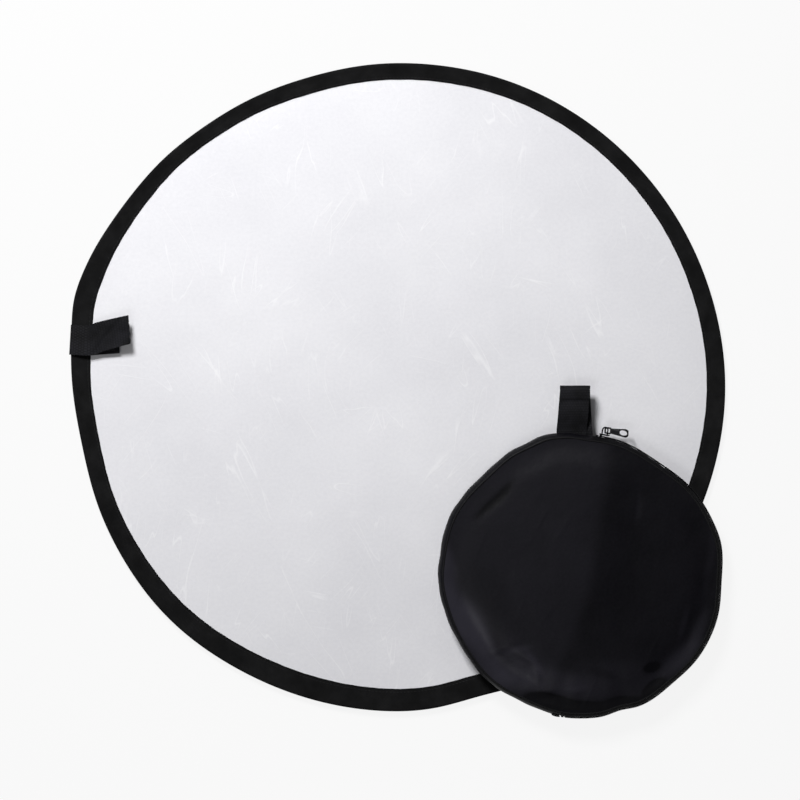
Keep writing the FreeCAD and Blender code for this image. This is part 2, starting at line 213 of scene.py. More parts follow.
def quarter(middle, radius, first, steps):
    # a quarter circle, counter-clockwise from an angle in degrees
    turns = [math.radians(first + 90 * step / steps) for step in range(steps + 1)]
    return [(middle[0] + radius * math.cos(turn), middle[1] + radius * math.sin(turn)) for turn in turns]


def roundedOutline(low, high, corner, steps=6):
    # a rectangle with round corners, counter-clockwise
    left, bottom, right, top = low[0] + corner, low[1] + corner, high[0] - corner, high[1] - corner
    corners = [((right, top), 0), ((left, top), 90), ((left, bottom), 180), ((right, bottom), 270)]
    return [spot for middle, first in corners for spot in quarter(middle, corner, first, steps)]


def flatPlate(name, outlines, thickness, bevel):
    # a plate in the XY plane: the first outline is its edge, and the others are holes
    loops = []
    for outline in outlines:
        deselectAll()
        bpy.ops.mesh.primitive_circle_add(vertices=len(outline), radius=0.01)
        loop = bpy.context.object
        for vertex, (x, y) in zip(loop.data.vertices, outline):
            vertex.co = (x, y, 0)
        loops.append(loop)
    deselectAll()
    for loop in loops:
        loop.select_set(True)
    bpy.context.view_layer.objects.active = loops[0]
    if len(loops) > 1:
        bpy.ops.object.join()
    piece = named(name)
    bpy.ops.object.mode_set(mode="EDIT")
    bpy.ops.mesh.select_all(action="SELECT")
    bpy.ops.mesh.remove_doubles(threshold=1e-6)
    bpy.ops.mesh.fill(use_beauty=True)
    bpy.ops.mesh.normals_make_consistent(inside=False)
    bpy.ops.object.mode_set(mode="OBJECT")
    applied(piece, "SOLIDIFY", thickness=thickness, offset=0.0)
    if bevel:
        applied(piece, "BEVEL", width=bevel, segments=2, limit_method="ANGLE")
    tidyMesh(piece)
    return piece


def joinedPiece(name, pieces):
    deselectAll()
    for piece in pieces:
        piece.select_set(True)
    bpy.context.view_layer.objects.active = pieces[0]
    bpy.ops.object.join()
    return named(name)


def axes(right, forward, top, spot):
    matrix = Matrix((right, forward, top)).transposed().to_4x4()
    matrix.translation = spot
    return matrix


def dress(piece, material, slotName, nodes, body=None, bend=None, angle=40):
    # material and shading, then the CAD body that carries the piece; a piece with a bend is baked in place
    # instead
    piece.data.materials.clear()
    piece.data.materials.append(material)
    pick(piece)
    bpy.ops.object.shade_smooth_by_angle(angle=math.radians(angle))
    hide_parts(*nodes)
    if bend:
        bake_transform(piece)
    else:
        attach(piece, body)


def bump(value, middle, spread):
    return np.exp(-(((value - middle + 180.0) % 360.0 - 180.0) / spread) ** 2)


def addBumps(azimuth, bumps):
    # bumps are azimuth, change and spread
    return sum(change * bump(azimuth, middle, spread) for middle, change, spread in bumps)


def ringAxes(azimuth):
    # outwards from a ring and along it, at an azimuth in degrees
    turn = math.radians(azimuth)
    out = Vector((math.cos(turn), math.sin(turn), 0))
    return out, Vector((-out.y, out.x, 0))


def smoothStep(value, low, high):
    share = np.clip((value - low) / (high - low), 0, 1)
    return share * share * (3 - 2 * share)


def resized(piece, size):
    bpy.ops.object.mode_set(mode="EDIT")
    bpy.ops.mesh.select_all(action="SELECT")
    bpy.ops.transform.resize(value=size)
    bpy.ops.object.mode_set(mode="OBJECT")
    return piece


# shader node groups that several finishes share

def node(tree, kind, **values):
    made = tree.nodes.new(kind)
    for key, value in values.items():
        if hasattr(made, key):
            setattr(made, key, value)
        else:
            made.inputs[key].default_value = value
    return made


def maths(tree, operation, first, second=None, third=None, clamp=False):
    made = tree.nodes.new("ShaderNodeMath")
    made.operation = operation
    made.use_clamp = clamp
    for socket, value in zip(made.inputs, (first, second, third)):
        if value is None:
            continue
        if isinstance(value, (int, float)):
            socket.default_value = value
        else:
            tree.links.new(value, socket)
    return made.outputs[0]


def emptyGroup(name, inputs, output):
    # a group with a Vector input, some single values, and one output
    tree = bpy.data.node_groups.new(name, "ShaderNodeTree")
    tree.interface.new_socket("Vector", in_out="INPUT", socket_type="NodeSocketVector")
    for title, value in inputs.items():
        socket = tree.interface.new_socket(title, in_out="INPUT", socket_type="NodeSocketFloat")
        socket.default_value = value
    tree.interface.new_socket(output, in_out="OUTPUT", socket_type="NodeSocketFloat")
    return tree, tree.nodes.new("NodeGroupInput").outputs, tree.nodes.new("NodeGroupOutput").inputs[0]


def noise(tree, vector, **values):
    made = node(tree, "ShaderNodeTexNoise", **values)
    tree.links.new(vector, made.inputs["Vector"])
    return made


def makeWeave():
    # threads going over and under each other, Along and Across in threads per metre
    tree, given, height = emptyGroup(
        "threadWeave", {"Along": 900.0, "Across": 900.0, "Unevenness": 0.3, "Ribs": 0.0}, "Height")
    split = node(tree, "ShaderNodeSeparateXYZ")
    tree.links.new(given["Vector"], split.inputs[0])
    waves = []
    for axis, rate in (("X", "Along"), ("Y", "Across")):
        turns = maths(tree, "MULTIPLY", split.outputs[axis], given[rate])
        waves.append(maths(tree, "SINE", maths(tree, "MULTIPLY", turns, math.pi)))
    crossed = maths(tree, "MULTIPLY_ADD", maths(tree, "MULTIPLY", *waves), 0.5, 0.5)
    slub = noise(tree, given["Vector"], Scale=180.0, Detail=2.0)
    uneven = maths(tree, "MULTIPLY", slub.outputs["Fac"], given["Unevenness"])
    ribbed = maths(tree, "SUBTRACT", maths(tree, "ABSOLUTE", waves[0]), crossed)
    raised = maths(tree, "MULTIPLY_ADD", ribbed, given["Ribs"], crossed)
    tree.links.new(maths(tree, "ADD", raised, uneven), height)
    return tree


def makeMottle():
    # soft cloudy variation between 0 and 1, with more or less contrast
    tree, given, value = emptyGroup("clothMottle", {"Scale": 12.0, "Contrast": 1.0}, "Value")
    cloud = noise(tree, given["Vector"], Detail=4.0, Roughness=0.55)
    tree.links.new(given["Scale"], cloud.inputs["Scale"])
    spread = maths(tree, "MULTIPLY", maths(tree, "SUBTRACT", cloud.outputs["Fac"], 0.5), given["Contrast"])
    tree.links.new(maths(tree, "MULTIPLY_ADD", spread, 2.0, 0.5, clamp=True), value)
    return tree


def makeCreases():
    # short faint fold lines along one heading, where cloth has been packed away
    tree, given, mask = emptyGroup(
        "packCreases", {"Heading": 1.0, "Scale": 40.0, "Width": 0.02, "Amount": 0.5}, "Mask")
    warp = noise(tree, given["Vector"], Scale=5.0, Detail=1.0)
    shift = node(tree, "ShaderNodeVectorMath", operation="MULTIPLY_ADD")
    shift.inputs[1].default_value = (0.03, 0.03, 0.0)
    tree.links.new(warp.outputs["Color"], shift.inputs[0])
    tree.links.new(given["Vector"], shift.inputs[2])
    turned = node(tree, "ShaderNodeVectorRotate", rotation_type="Z_AXIS")
    tree.links.new(shift.outputs[0], turned.inputs["Vector"])
    tree.links.new(given["Heading"], turned.inputs["Angle"])
    drawn = node(tree, "ShaderNodeVectorMath", operation="MULTIPLY")
    drawn.inputs[1].default_value = (1.0, 0.12, 1.0)
    tree.links.new(turned.outputs[0], drawn.inputs[0])
    streak = noise(tree, drawn.outputs[0], Detail=1.5)
    tree.links.new(given["Scale"], streak.inputs["Scale"])
    off = maths(tree, "ABSOLUTE", maths(tree, "SUBTRACT", streak.outputs["Fac"], 0.5))
    line = maths(tree, "SUBTRACT", 1.0, maths(tree, "DIVIDE", off, given["Width"], clamp=True))
    gate = noise(tree, turned.outputs[0], Scale=17.0, Detail=2.0)
    least = maths(tree, "MULTIPLY_ADD", given["Amount"], -0.25, 0.65)
    broken = maths(tree, "MULTIPLY", maths(tree, "SUBTRACT", gate.outputs["Fac"], least), 9.0, clamp=True)
    tree.links.new(maths(tree, "MULTIPLY", line, broken), mask)
    return tree


weaveGroup = makeWeave()
mottleGroup = makeMottle()
creaseGroup = makeCreases()


# a look's words for the Principled sockets that hold one value
socketNames = {"roughness": "Roughness", "metal": "Metallic", "gloss": "Specular IOR Level",
               "sheen": "Sheen Weight", "sheenSpread": "Sheen Roughness"}


def finish(name, look):
    # a Principled material; its constant values stay on its own sockets
    material = bpy.data.materials.new(name)
    material.use_nodes = True
    tree = material.node_tree
    shader = tree.nodes["Principled BSDF"]
    shader.inputs["Base Color"].default_value = (*look["light"], 1)
    for key, socket in socketNames.items():
        if key in look:
            shader.inputs[socket].default_value = look[key]
    return material, tree, shader


def grouped(tree, group, vector, **values):
    made = tree.nodes.new("ShaderNodeGroup")
    made.node_tree = group
    tree.links.new(vector, made.inputs["Vector"])
    for key, value in values.items():
        made.inputs[key].default_value = value
    return made.outputs[0]


def mixed(tree, share, first, second):
    made = tree.nodes.new("ShaderNodeMix")
    made.data_type = "RGBA"
    tree.links.new(share, made.inputs[0])
    for socket, value in ((made.inputs[6], first), (made.inputs[7], second)):
        if isinstance(value, tuple):
            socket.default_value = (*value, 1)
        else:
            tree.links.new(value, socket)
    return made.outputs[2]


def tint(tree, shader, share, look):
    tree.links.new(mixed(tree, share, look["dark"], look["light"]), shader.inputs["Base Color"])


def roughen(tree, shader, value, amount, least):
    tree.links.new(maths(tree, "MULTIPLY_ADD", value, amount, least), shader.inputs["Roughness"])


def bumped(tree, shader, height, strength, distance, before=None):
    made = node(tree, "ShaderNodeBump", Strength=strength, Distance=distance)
    tree.links.new(height, made.inputs["Height"])
    if before:
        tree.links.new(before, made.inputs["Normal"])
    tree.links.new(made.outputs["Normal"], shader.inputs["Normal"])
    return made.outputs["Normal"]


def clothCoordinates(tree):
    return node(tree, "ShaderNodeUVMap", uv_map="laid").outputs["UV"]


def makeWhiteSatin():
    # broken fold lines with a painted highlight along them, a fine grain, barely cool
    look = {"dark": (0.745, 0.743, 0.778), "light": (0.845, 0.842, 0.872), "crease": (0.955, 0.953, 0.97),
            "roughness": 0.5, "sheen": 0.1, "sheenSpread": 0.4, "gloss": 0.35, "glint": 0.45,
            # fold lines: heading, scale, width, amount
            "folds": [(0.12, 58.0, 0.009, 0.5), (-0.45, 44.0, 0.007, 0.6), (0.7, 52.0, 0.008, 0.45),
                      (1.8, 38.0, 0.005, 0.3)]}
    material, tree, shader = finish("whiteSatin", look)
    laid = clothCoordinates(tree)
    cloud = grouped(tree, mottleGroup, laid, Scale=7.0, Contrast=1.3)
    grain = grouped(tree, mottleGroup, laid, Scale=330.0, Contrast=1.4)
    creases = None
    for heading, scale, width, amount in look["folds"]:
        fold = grouped(tree, creaseGroup, laid, Heading=heading, Scale=scale, Width=width, Amount=amount)
        creases = maths(tree, "ADD", creases, fold, clamp=True) if creases else fold
    shade = maths(tree, "MULTIPLY_ADD", grain, 0.35, maths(tree, "MULTIPLY", cloud, 0.65))
    base = mixed(tree, shade, look["dark"], look["light"])
    # painted highlight: along the fold lines the base colour turns towards the bright crease colour
    glint = maths(tree, "MULTIPLY", creases, look["glint"])
    tree.links.new(mixed(tree, glint, base, look["crease"]), shader.inputs["Base Color"])
    roughen(tree, shader, cloud, 0.15, 0.42)
    fold = bumped(tree, shader, creases, 0.25, 0.0003)
    bumped(tree, shader, grouped(tree, weaveGroup, laid, Along=2400.0, Across=2400.0), 0.12, 0.00006, fold)
    return material


def makeSilverCloth():
    # metallised film on cloth
    look = {"dark": (0.5, 0.51, 0.53), "light": (0.72, 0.73, 0.75), "roughness": 0.4, "metal": 0.85}
    material, tree, shader = finish("silverCloth", look)
    laid = clothCoordinates(tree)
    cloud = grouped(tree, mottleGroup, laid, Scale=20.0, Contrast=1.8)
    creases = grouped(tree, creaseGroup, laid, Heading=0.4, Scale=30.0, Width=0.03, Amount=0.8)
    tint(tree, shader, cloud, look)
    roughen(tree, shader, cloud, 0.25, 0.28)
    fold = bumped(tree, shader, creases, 0.5, 0.0006)
    bumped(tree, shader, grouped(tree, weaveGroup, laid, Along=1800.0, Across=1800.0), 0.25, 0.00008, fold)
    return material


def makeBagSatin():
    # coated nylon satin, its base colour lighter or darker by painted light and shade that the panels carry
    # per point
    look = {"dark": (0.0003, 0.0002, 0.0012), "light": (0.0268, 0.0255, 0.0345), "roughness": 0.45,
            "gloss": 0.14, "sheen": 0.02, "sheenSpread": 0.35}
    material, tree, shader = finish("bagSatin", look)
    laid = clothCoordinates(tree)
    cloud = grouped(tree, mottleGroup, laid, Scale=22.0, Contrast=1.3)
    grain = grouped(tree, mottleGroup, laid, Scale=420.0, Contrast=1.2)
    creases = grouped(tree, creaseGroup, laid, Heading=0.5, Scale=30.0, Width=0.05, Amount=0.5)
    # painted light and shade: a per-point value that the panels carry lightens or darkens the base colour
    paintedPatches = node(tree, "ShaderNodeAttribute", attribute_name="paintedShading").outputs["Fac"]
    shade = maths(tree, "MULTIPLY_ADD", cloud, 0.08, paintedPatches)
    shade = maths(tree, "MULTIPLY_ADD", grain, 0.07, shade, clamp=True)
    tint(tree, shader, shade, look)
    roughen(tree, shader, shade, -0.15, 0.5)
    wrinkle = bumped(tree, shader, cloud, 0.25, 0.0016)
    fold = bumped(tree, shader, creases, 0.25, 0.0004, wrinkle)
    bumped(tree, shader, grouped(tree, weaveGroup, laid, Along=1800.0, Across=1800.0), 0.2, 0.0001, fold)
    return material


# black woven goods: colour, threads per metre, and how far the threads stand out
wovenLooks = {
    "rimTape": {"dark": (0.006, 0.006, 0.0062), "light": (0.0145, 0.0145, 0.015), "roughness": 0.86,
                "along": 1500.0, "across": 700.0, "lift": 0.4, "sheen": 0.03, "gloss": 0.03},
    "strapWebbing": {"dark": (0.0009, 0.0009, 0.0014), "light": (0.0105, 0.0105, 0.0138), "roughness": 0.6,
                     "along": 430.0, "across": 800.0, "lift": 0.8, "sheen": 0.03, "gloss": 0.14, "ribs": 0.5},
    "edgeTape": {"dark": (0.0028, 0.0028, 0.0034), "light": (0.007, 0.007, 0.008), "roughness": 0.8,
                 "along": 1300.0, "across": 900.0, "lift": 0.4, "sheen": 0.02, "gloss": 0.2},
    "zipTapeCloth": {"dark": (0.0028, 0.0028, 0.0034), "light": (0.007, 0.007, 0.0082), "roughness": 0.8,
                     "along": 1300.0, "across": 1300.0, "lift": 0.4, "sheen": 0.0, "gloss": 0.08},
    "blackThread": {"dark": (0.006, 0.006, 0.007), "light": (0.022, 0.022, 0.024), "roughness": 0.7,
                    "along": 2500.0, "across": 2500.0, "lift": 0.3, "sheen": 0.1, "gloss": 0.2},
    "pileTape": {"dark": (0.006, 0.006, 0.007), "light": (0.02, 0.02, 0.022), "roughness": 0.95,
                 "along": 900.0, "across": 900.0, "lift": 0.9, "sheen": 0.3, "gloss": 0.1},
}


def makeWoven(name, look):
    material, tree, shader = finish(name, {**look, "sheenSpread": 0.5})
    laid = clothCoordinates(tree)
    weave = grouped(tree, weaveGroup, laid, Along=look["along"], Across=look["across"],
                    Ribs=look.get("ribs", 0.0))
    cloud = grouped(tree, mottleGroup, laid, Scale=45.0, Contrast=1.5)
    tint(tree, shader, maths(tree, "MULTIPLY", weave, cloud, clamp=True), look)
    roughen(tree, shader, cloud, 0.12, look["roughness"] - 0.06)
    bumped(tree, shader, weave, look["lift"], 0.0003)
    return material


# hard pieces: scuffed metal, lacquer and nylon
hardLooks = {
    "springSteel": {"dark": (0.4, 0.41, 0.43), "light": (0.62, 0.63, 0.65), "metal": 1.0, "roughness": 0.32},
    "sleeveMetal": {"dark": (0.5, 0.5, 0.52), "light": (0.7, 0.7, 0.72), "metal": 1.0, "roughness": 0.42},
    "zipLacquer": {"dark": (0.004, 0.004, 0.005), "light": (0.012, 0.012, 0.014), "roughness": 0.22},
    "coilNylon": {"dark": (0.003, 0.003, 0.004), "light": (0.006, 0.006, 0.007), "roughness": 0.6,
                  "gloss": 0.15},
    "hookPlastic": {"dark": (0.007, 0.007, 0.008), "light": (0.016, 0.016, 0.018), "roughness": 0.6},
}


def makeHard(name, look):
    material, tree, shader = finish(name, look)
    place = node(tree, "ShaderNodeTexCoord").outputs["Object"]
    cloud = grouped(tree, mottleGroup, place, Scale=260.0, Contrast=1.6)
    scuffs = grouped(tree, creaseGroup, place, Scale=700.0, Width=0.04, Amount=0.5)
    tint(tree, shader, cloud, look)
    roughen(tree, shader, scuffs, 0.2, look["roughness"])
    bumped(tree, shader, cloud, 0.15, 0.00008)
    return material


def makeFinishes():
    made = {"whiteSatin": makeWhiteSatin(), "silverCloth": makeSilverCloth(), "bagSatin": makeBagSatin()}
    made.update({name: makeWoven(name, look) for name, look in wovenLooks.items()})
    made.update({name: makeHard(name, look) for name, look in hardLooks.items()})
    return made


finishes = makeFinishes()
print("finishes made")


# camera, floor and light

viewing = {"aimX": 0.5 * mm, "aimY": -12.2 * mm, "acrossView": 738.5 * mm, "lens": 100.0}


def makeCamera():
    data = bpy.data.cameras.new("overhead")
    data.lens = viewing["lens"]
    data.clip_end = 20.0
    camera = bpy.data.objects.new("overhead", data)
    height = viewing["acrossView"] * data.lens / data.sensor_width
    camera.location = (viewing["aimX"], viewing["aimY"], height)
    bpy.context.scene.collection.objects.link(camera)
    bpy.context.scene.camera = camera


lighting = {
    "key": {"spot": (-0.46, 0.98, 1.25), "size": 0.42, "power": 27.2},
    "gloss": {"spot": (-0.42, -0.75, 1.5), "size": 0.45, "power": 3.0},
    "air": 0.12,
}


def makeLights():
    for name in ("key", "gloss"):
        look = lighting[name]
        data = bpy.data.lights.new(name, "AREA")
        data.shape = "SQUARE"
        data.size = look["size"]
        data.energy = look["power"]
        light = bpy.data.objects.new(name, data)
        light.location = look["spot"]
        light.rotation_euler = (-Vector(look["spot"])).to_track_quat("-Z", "Y").to_euler()
        bpy.context.scene.collection.objects.link(light)
    world = bpy.data.worlds.new("air")
    world.use_nodes = True
    background = world.node_tree.nodes["Background"]
    background.inputs["Color"].default_value = (1, 1, 1, 1)
    background.inputs["Strength"].default_value = lighting["air"]
    bpy.context.scene.world = world
    bpy.context.scene.view_settings.view_transform = "Standard"


def makeFloor():
    deselectAll()
    bpy.ops.mesh.primitive_plane_add(size=30.0)
    floor = named("paleFloor")
    material, _, shader = finish("paleFloor", {"light": (0.08, 0.08, 0.08), "roughness": 0.9, "gloss": 0.0})
    shader.inputs["Emission Color"].default_value = (1, 1, 1, 1)
    shader.inputs["Emission Strength"].default_value = 0.88
    floor.data.materials.append(material)


makeCamera()
makeLights()
makeFloor()
print("camera, light and floor made")


# the disc

rim = {
    "steps": 480,
    "plainInset": 4.0 * mm,       # the tight part over the hoop
    "width": 17.0 * mm,
    "narrowSide": 2.6 * mm,       # the tape is narrow on one side of the disc and wide opposite
    "narrowest": 88,              # azimuth of the narrow side
    "pucker": 0.08 * mm,
    "softness": 0.14 * mm,
    # where the sewn disc leaves the drawn outline: azimuth, change, spread
    "strays": [(165, 1.9 * mm, 5), (136, 1.5 * mm, 8), (190, -2.4 * mm, 10), (225, 2.1 * mm, 13),
               (285, -4.6 * mm, 8), (106, -1.9 * mm, 11), (86, -0.8 * mm, 12), (0, 1.0 * mm, 14)],
    # how wide the tape is elsewhere: azimuth, change, spread
    "swells": [(164, 3.4 * mm, 11), (250, 1.2 * mm, 18), (130, -1.0 * mm, 14), (198, -1.4 * mm, 15),
               (90, 0.7 * mm, 26), (272, 0.6 * mm, 18)],
    # the folded tape's section: inset, share of the rest of the width, height above the middle
    "outside": [(0, 0, 1.9), (0.2, 0, 2.7), (0.7, 0, 3.3), (1.6, 0, 3.58), (2.8, 0, 3.5), (4, 0, 3.1),
                (4, 0.2, 2.6), (4, 0.4, 2.1), (4, 0.6, 1.6), (4, 0.8, 1.15), (4, 0.93, 0.9), (4, 1.0, 0.72)],
    "inside": [(4, 1.0, 0.32), (4, 0.8, 0.62), (4, 0.5, 1.3), (4, 0.2, 2.1), (3.4, 0, 2.75), (2.6, 0, 3.08),
               (0.62, 0, 3.08), (0.5, 0, 2.2)],
}
rimLow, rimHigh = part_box("rim_binding_right")
discRadius = rimHigh.x
rimMiddle = (rimLow.z + rimHigh.z) / 2
foldBend = ("disc_right", "disc_left", (0.015, 0, 0), (-0.14, 0, 0))


def readOutline():
    # the disc's outer edge as the frame has it: the hull round the binding, as distance by azimuth
    spots = np.concatenate([points(frame["nodes"]["rim_binding_" + side]) for side in ("right", "left")])
    spots = sorted({(round(x, 6), round(y, 6)) for x, y, _ in spots})
    hull = []
    for order in (spots, spots[::-1]):
        side = []
        for spot in order:
            while len(side) > 1 and ((side[-1][0] - side[-2][0]) * (spot[1] - side[-2][1])
                                     <= (side[-1][1] - side[-2][1]) * (spot[0] - side[-2][0])):
                side.pop()
            side.append(spot)
        hull += side[:-1]
    hull = np.array(hull)
    azimuths = np.degrees(np.arctan2(hull[:, 1], hull[:, 0])) % 360
    order = np.argsort(azimuths)
    return azimuths[order], np.hypot(hull[:, 0], hull[:, 1])[order]


outlineAzimuths, outlineReaches = readOutline()


def outlineAt(azimuth):
    reach = np.interp(azimuth % 360, outlineAzimuths, outlineReaches, period=360)
    return reach + addBumps(azimuth, rim["strays"])


def tapeWidthAt(azimuth):
    width = rim["width"] - rim["narrowSide"] * np.cos(np.radians(azimuth - rim["narrowest"]))
    return width + addBumps(azimuth, rim["swells"])


def rimSection():
    rest = rim["width"] - rim["plainInset"]
    chain = []
    for side in (1, -1):
        half = [(inset * mm + share * rest, side * height * mm) for inset, share, height
                in rim["outside"] + rim["inside"]]
        chain += half if side > 0 else half[::-1]
    return [(discRadius - inset, rimMiddle + height) for inset, height in chain]


def toOutline(place, stretch=True):
    # carries a round ring's points onto the disc's real outline and tape width
    turn, reach = polar(place)
    inset = discRadius - reach
    azimuth = np.degrees(turn)
    if stretch:
        rest = rim["width"] - rim["plainInset"]
        share = np.clip((inset - rim["plainInset"]) / rest, 0, 1)
        room = tapeWidthAt(azimuth) - rim["plainInset"]
        ripple = rim["pucker"] * (np.sin(turn * 97) + 0.6 * np.sin(turn * 41 + 1))
        inset = np.where(share > 0, rim["plainInset"] + share * (room + ripple), inset)
    reach = outlineAt(azimuth) - inset
    return np.stack([reach * np.cos(turn), reach * np.sin(turn), place[:, 2]], axis=1)


def makeBinding():
    piece = spun("rimBinding", rimSection(), rim["steps"])
    layRoundUv(piece, (0, 0), discRadius)
    place = points(piece)
    turn, reach = polar(place)
    away = np.clip((discRadius - reach - rim["plainInset"]) / rim["width"], 0, 1)
    place[:, 2] += away * rim["softness"] * (np.sin(turn * 61) + np.sin(turn * 23 + 2))
    movePoints(piece, toOutline(place))
    dress(piece, finishes["rimTape"], "binding", ["rim_binding_right", "rim_binding_left"], bend=foldBend)


def makeHoop():
    low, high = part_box("spring_hoop_right")
    inner = high.x - 1 * mm
    section = [(high.x, low.z), (high.x, high.z), (inner, high.z), (inner, low.z)]
    piece = spun("springHoop", section, rim["steps"])
    movePoints(piece, toOutline(points(piece), stretch=False))
    applied(piece, "BEVEL", width=0.2 * mm, segments=1, limit_method="ANGLE")
    dress(piece, finishes["springSteel"], "spring_steel", ["spring_hoop_right", "spring_hoop_left"],
          bend=foldBend)


cloth = {"rings": 44, "steps": 216, "hidden": 3.6 * mm}


def clothRelief(place):
    # gentle pull lines across the drum-tight cloth, and tiny puckers beside the tape
    x, y = place[:, 0], place[:, 1]
    turn, reach = polar(place)
    calm = smoothStep(outlineAt(np.degrees(turn)) - reach, 14 * mm, 60 * mm)
    wave = 0.16 * np.sin(x * 31 + 4 * y) * np.sin(y * 23 - 9 * x + 1)
    wave += 0.1 * np.sin(x * 61 - y * 47 + 2) * np.sin(y * 71 + x * 18)
    wave += 0.06 * np.sin(x * 120 + y * 95) * np.sin(x * 36 - y * 88)
    edge = np.exp(-((discRadius - rim["width"] - reach) / (9 * mm)) ** 2)
    puckers = 0.05 * edge * (np.sin(turn * 83) + np.sin(turn * 131 + 2))
    return (wave * calm + puckers) * mm


def makeCloth(name, nodeNames, material, slotName):
    low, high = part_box(nodeNames[0])
    full = discRadius - cloth["hidden"]
    radii = [full * (ring / cloth["rings"]) ** 0.9 for ring in range(cloth["rings"] + 1)]
    chain = [(radius, high.z) for radius in radii] + [(radius, low.z) for radius in radii[::-1]]
    piece = spun(name, chain, cloth["steps"], closed=False)
    layUv(piece)
    place = points(piece)
    turn, reach = polar(place)
    reach *= (outlineAt(np.degrees(turn)) - cloth["hidden"]) / full
    place[:, 0] = reach * np.cos(turn)
    place[:, 1] = reach * np.sin(turn)
    place[:, 2] += clothRelief(place)
    movePoints(piece, place)
    dress(piece, finishes[material], slotName, nodeNames, bend=foldBend, angle=60)


def rimTop(share):
    # height of the tape's upper face above the middle, by share of the width past the hoop
    known = [(step, height) for inset, step, height in rim["outside"] if inset == 4]
    return float(np.interp(share, *zip(*known))) * mm


stitching = {"length": 2.6 * mm, "pitch": 3.3 * mm, "width": 0.42 * mm, "height": 0.3 * mm, "share": 0.82}


def oneStitch():
    deselectAll()
    bpy.ops.mesh.primitive_ico_sphere_add(subdivisions=2, radius=0.5)
    stitch = resized(named("stitch"), (stitching["length"], stitching["width"], stitching["height"]))
    applied(stitch, "DECIMATE", ratio=0.5)
    return stitch


def makeSeamStitches():
    count = int(2 * math.pi * (discRadius - 14 * mm) / stitching["pitch"])
    matrices = []
    for side in (1, -1):
        for step in range(count):
            azimuth = 360.0 * step / count
            room = tapeWidthAt(azimuth) - rim["plainInset"]
            reach = outlineAt(azimuth) - rim["plainInset"] - stitching["share"] * room
            out, along = ringAxes(azimuth)
            slope = Vector((out.x, out.y, side * 0.15)).normalized()
            height = rimMiddle + side * (rimTop(stitching["share"]) + 0.06 * mm)
            matrices.append(axes(along, slope, slope.cross(along), out * reach + upright * height))
    piece = copies("seamStitches", oneStitch(), matrices)
    layRoundUv(piece, (0, 0), discRadius)
    dress(piece, finishes["blackThread"], "thread", ["seam_thread_right", "seam_thread_left"], bend=foldBend)


makeBinding()
makeHoop()
makeCloth("frontCloth", ["front_fabric_right", "front_fabric_left"], "whiteSatin", "front_cloth")
makeCloth("backCloth", ["back_fabric_right", "back_fabric_left"], "silverCloth", "back_cloth")
makeSeamStitches()
print("disc made")


# the closing strap

strapJoint = jointNamed["strap_lower_bend"]
strapPivot = Vector(strapJoint["pos_m"])
strapAcross = -Vector(strapJoint["axis"]).normalized()
strapInward = strapAcross.cross(upright).normalized()
strap = {
    "width": 27.5 * mm, "thickness": 1.1 * mm,
    # the root's layers, inwards from the bend and up, in mm: round the rim's edge, and over it on top
    "under": [(-15.45, -6.2), (-15.45, -4.4), (-15.35, -3.3), (-14.85, -2.4), (-13.85, -1.95),
              (-11.45, -1.85), (-8, -1.85), (-4, -1.85), (-2.3, -1.85), (-0.5, -1.85)],
    "over": [(-15.15, -2.5), (-15.1, -1.6), (-14.55, -0.8), (-13.45, -0.55), (-10, -0.55), (-6, -0.45),
             (-3, -0.5), (0.3, -0.55)],
    # the tails: where they start, their bend's two ends, how they turn, rise and curl
    "upper": {"length": 39 * mm, "turn": 18.4, "lift": 9.0, "drop": 0.55 * mm, "settle": 13 * mm,
              "start": -1.5 * mm, "curl": 1.2 * mm, "bend": (-1 * mm, 4 * mm)},
    "lower": {"length": 29.2 * mm, "turn": 7.3, "lift": 0.0, "drop": 1.85 * mm, "settle": 7 * mm,
              "start": -2 * mm, "curl": 0.0, "bend": (-2.5 * mm, 3 * mm)},
}


def strapPoint(inward, height, sideways=0.0):
    # measured from the bend line, inwards, up and along the rim
    return strapPivot + strapInward * inward + upright * height + strapAcross * sideways


def makeStrapRoot():
    # the layer round the rim's edge begins under the rim
    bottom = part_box("strap_root")[0].z - strapPivot.z + 0.4 * mm
    layers, length = [], 0.0
    for name, spots in (("strapRootUnder", [(strap["under"][0][0], bottom / mm)] + strap["under"]),
                        ("strapRootOver", strap["over"])):
        middles = [strapPoint(inward * mm, height * mm) for inward, height in spots]
        length += stripLength(middles)
        layers.append(ribbon(name, [(middle, strapAcross) for middle in middles], strap["width"],
                             strap["thickness"]))
    piece = joinedPiece("strapRoot", layers)
    dress(piece, finishes["strapWebbing"], "webbing", ["strap_root"], body="disc_left")


def headed(turn):
    # forwards and across for something turned from straight inwards, in radians
    forward = strapInward * math.cos(turn) + strapAcross * math.sin(turn)
    return forward, strapAcross * math.cos(turn) - strapInward * math.sin(turn)


def tailRibbon(name, look):
    # heads off at an angle, and rises and curls a little towards its end
    lift = math.radians(look["lift"])
    stations = []
    count = 18
    for step in range(count + 1):
        share = step / count
        inward = look["start"] + (look["length"] - look["start"]) * share
        heading = math.radians(look["turn"]) * float(smoothStep(inward, -2 * mm, look["settle"]))
        forward, across = headed(heading)
        if inward <= 0:
            forward = strapInward * math.cos(heading)
        rise = math.sin(lift) * max(inward, 0.0) + look["curl"] * share ** 2 - look["drop"]
        stations.append((strapPivot + forward * inward + upright * rise, across))
    return ribbon(name, stations, strap["width"], strap["thickness"], 16)


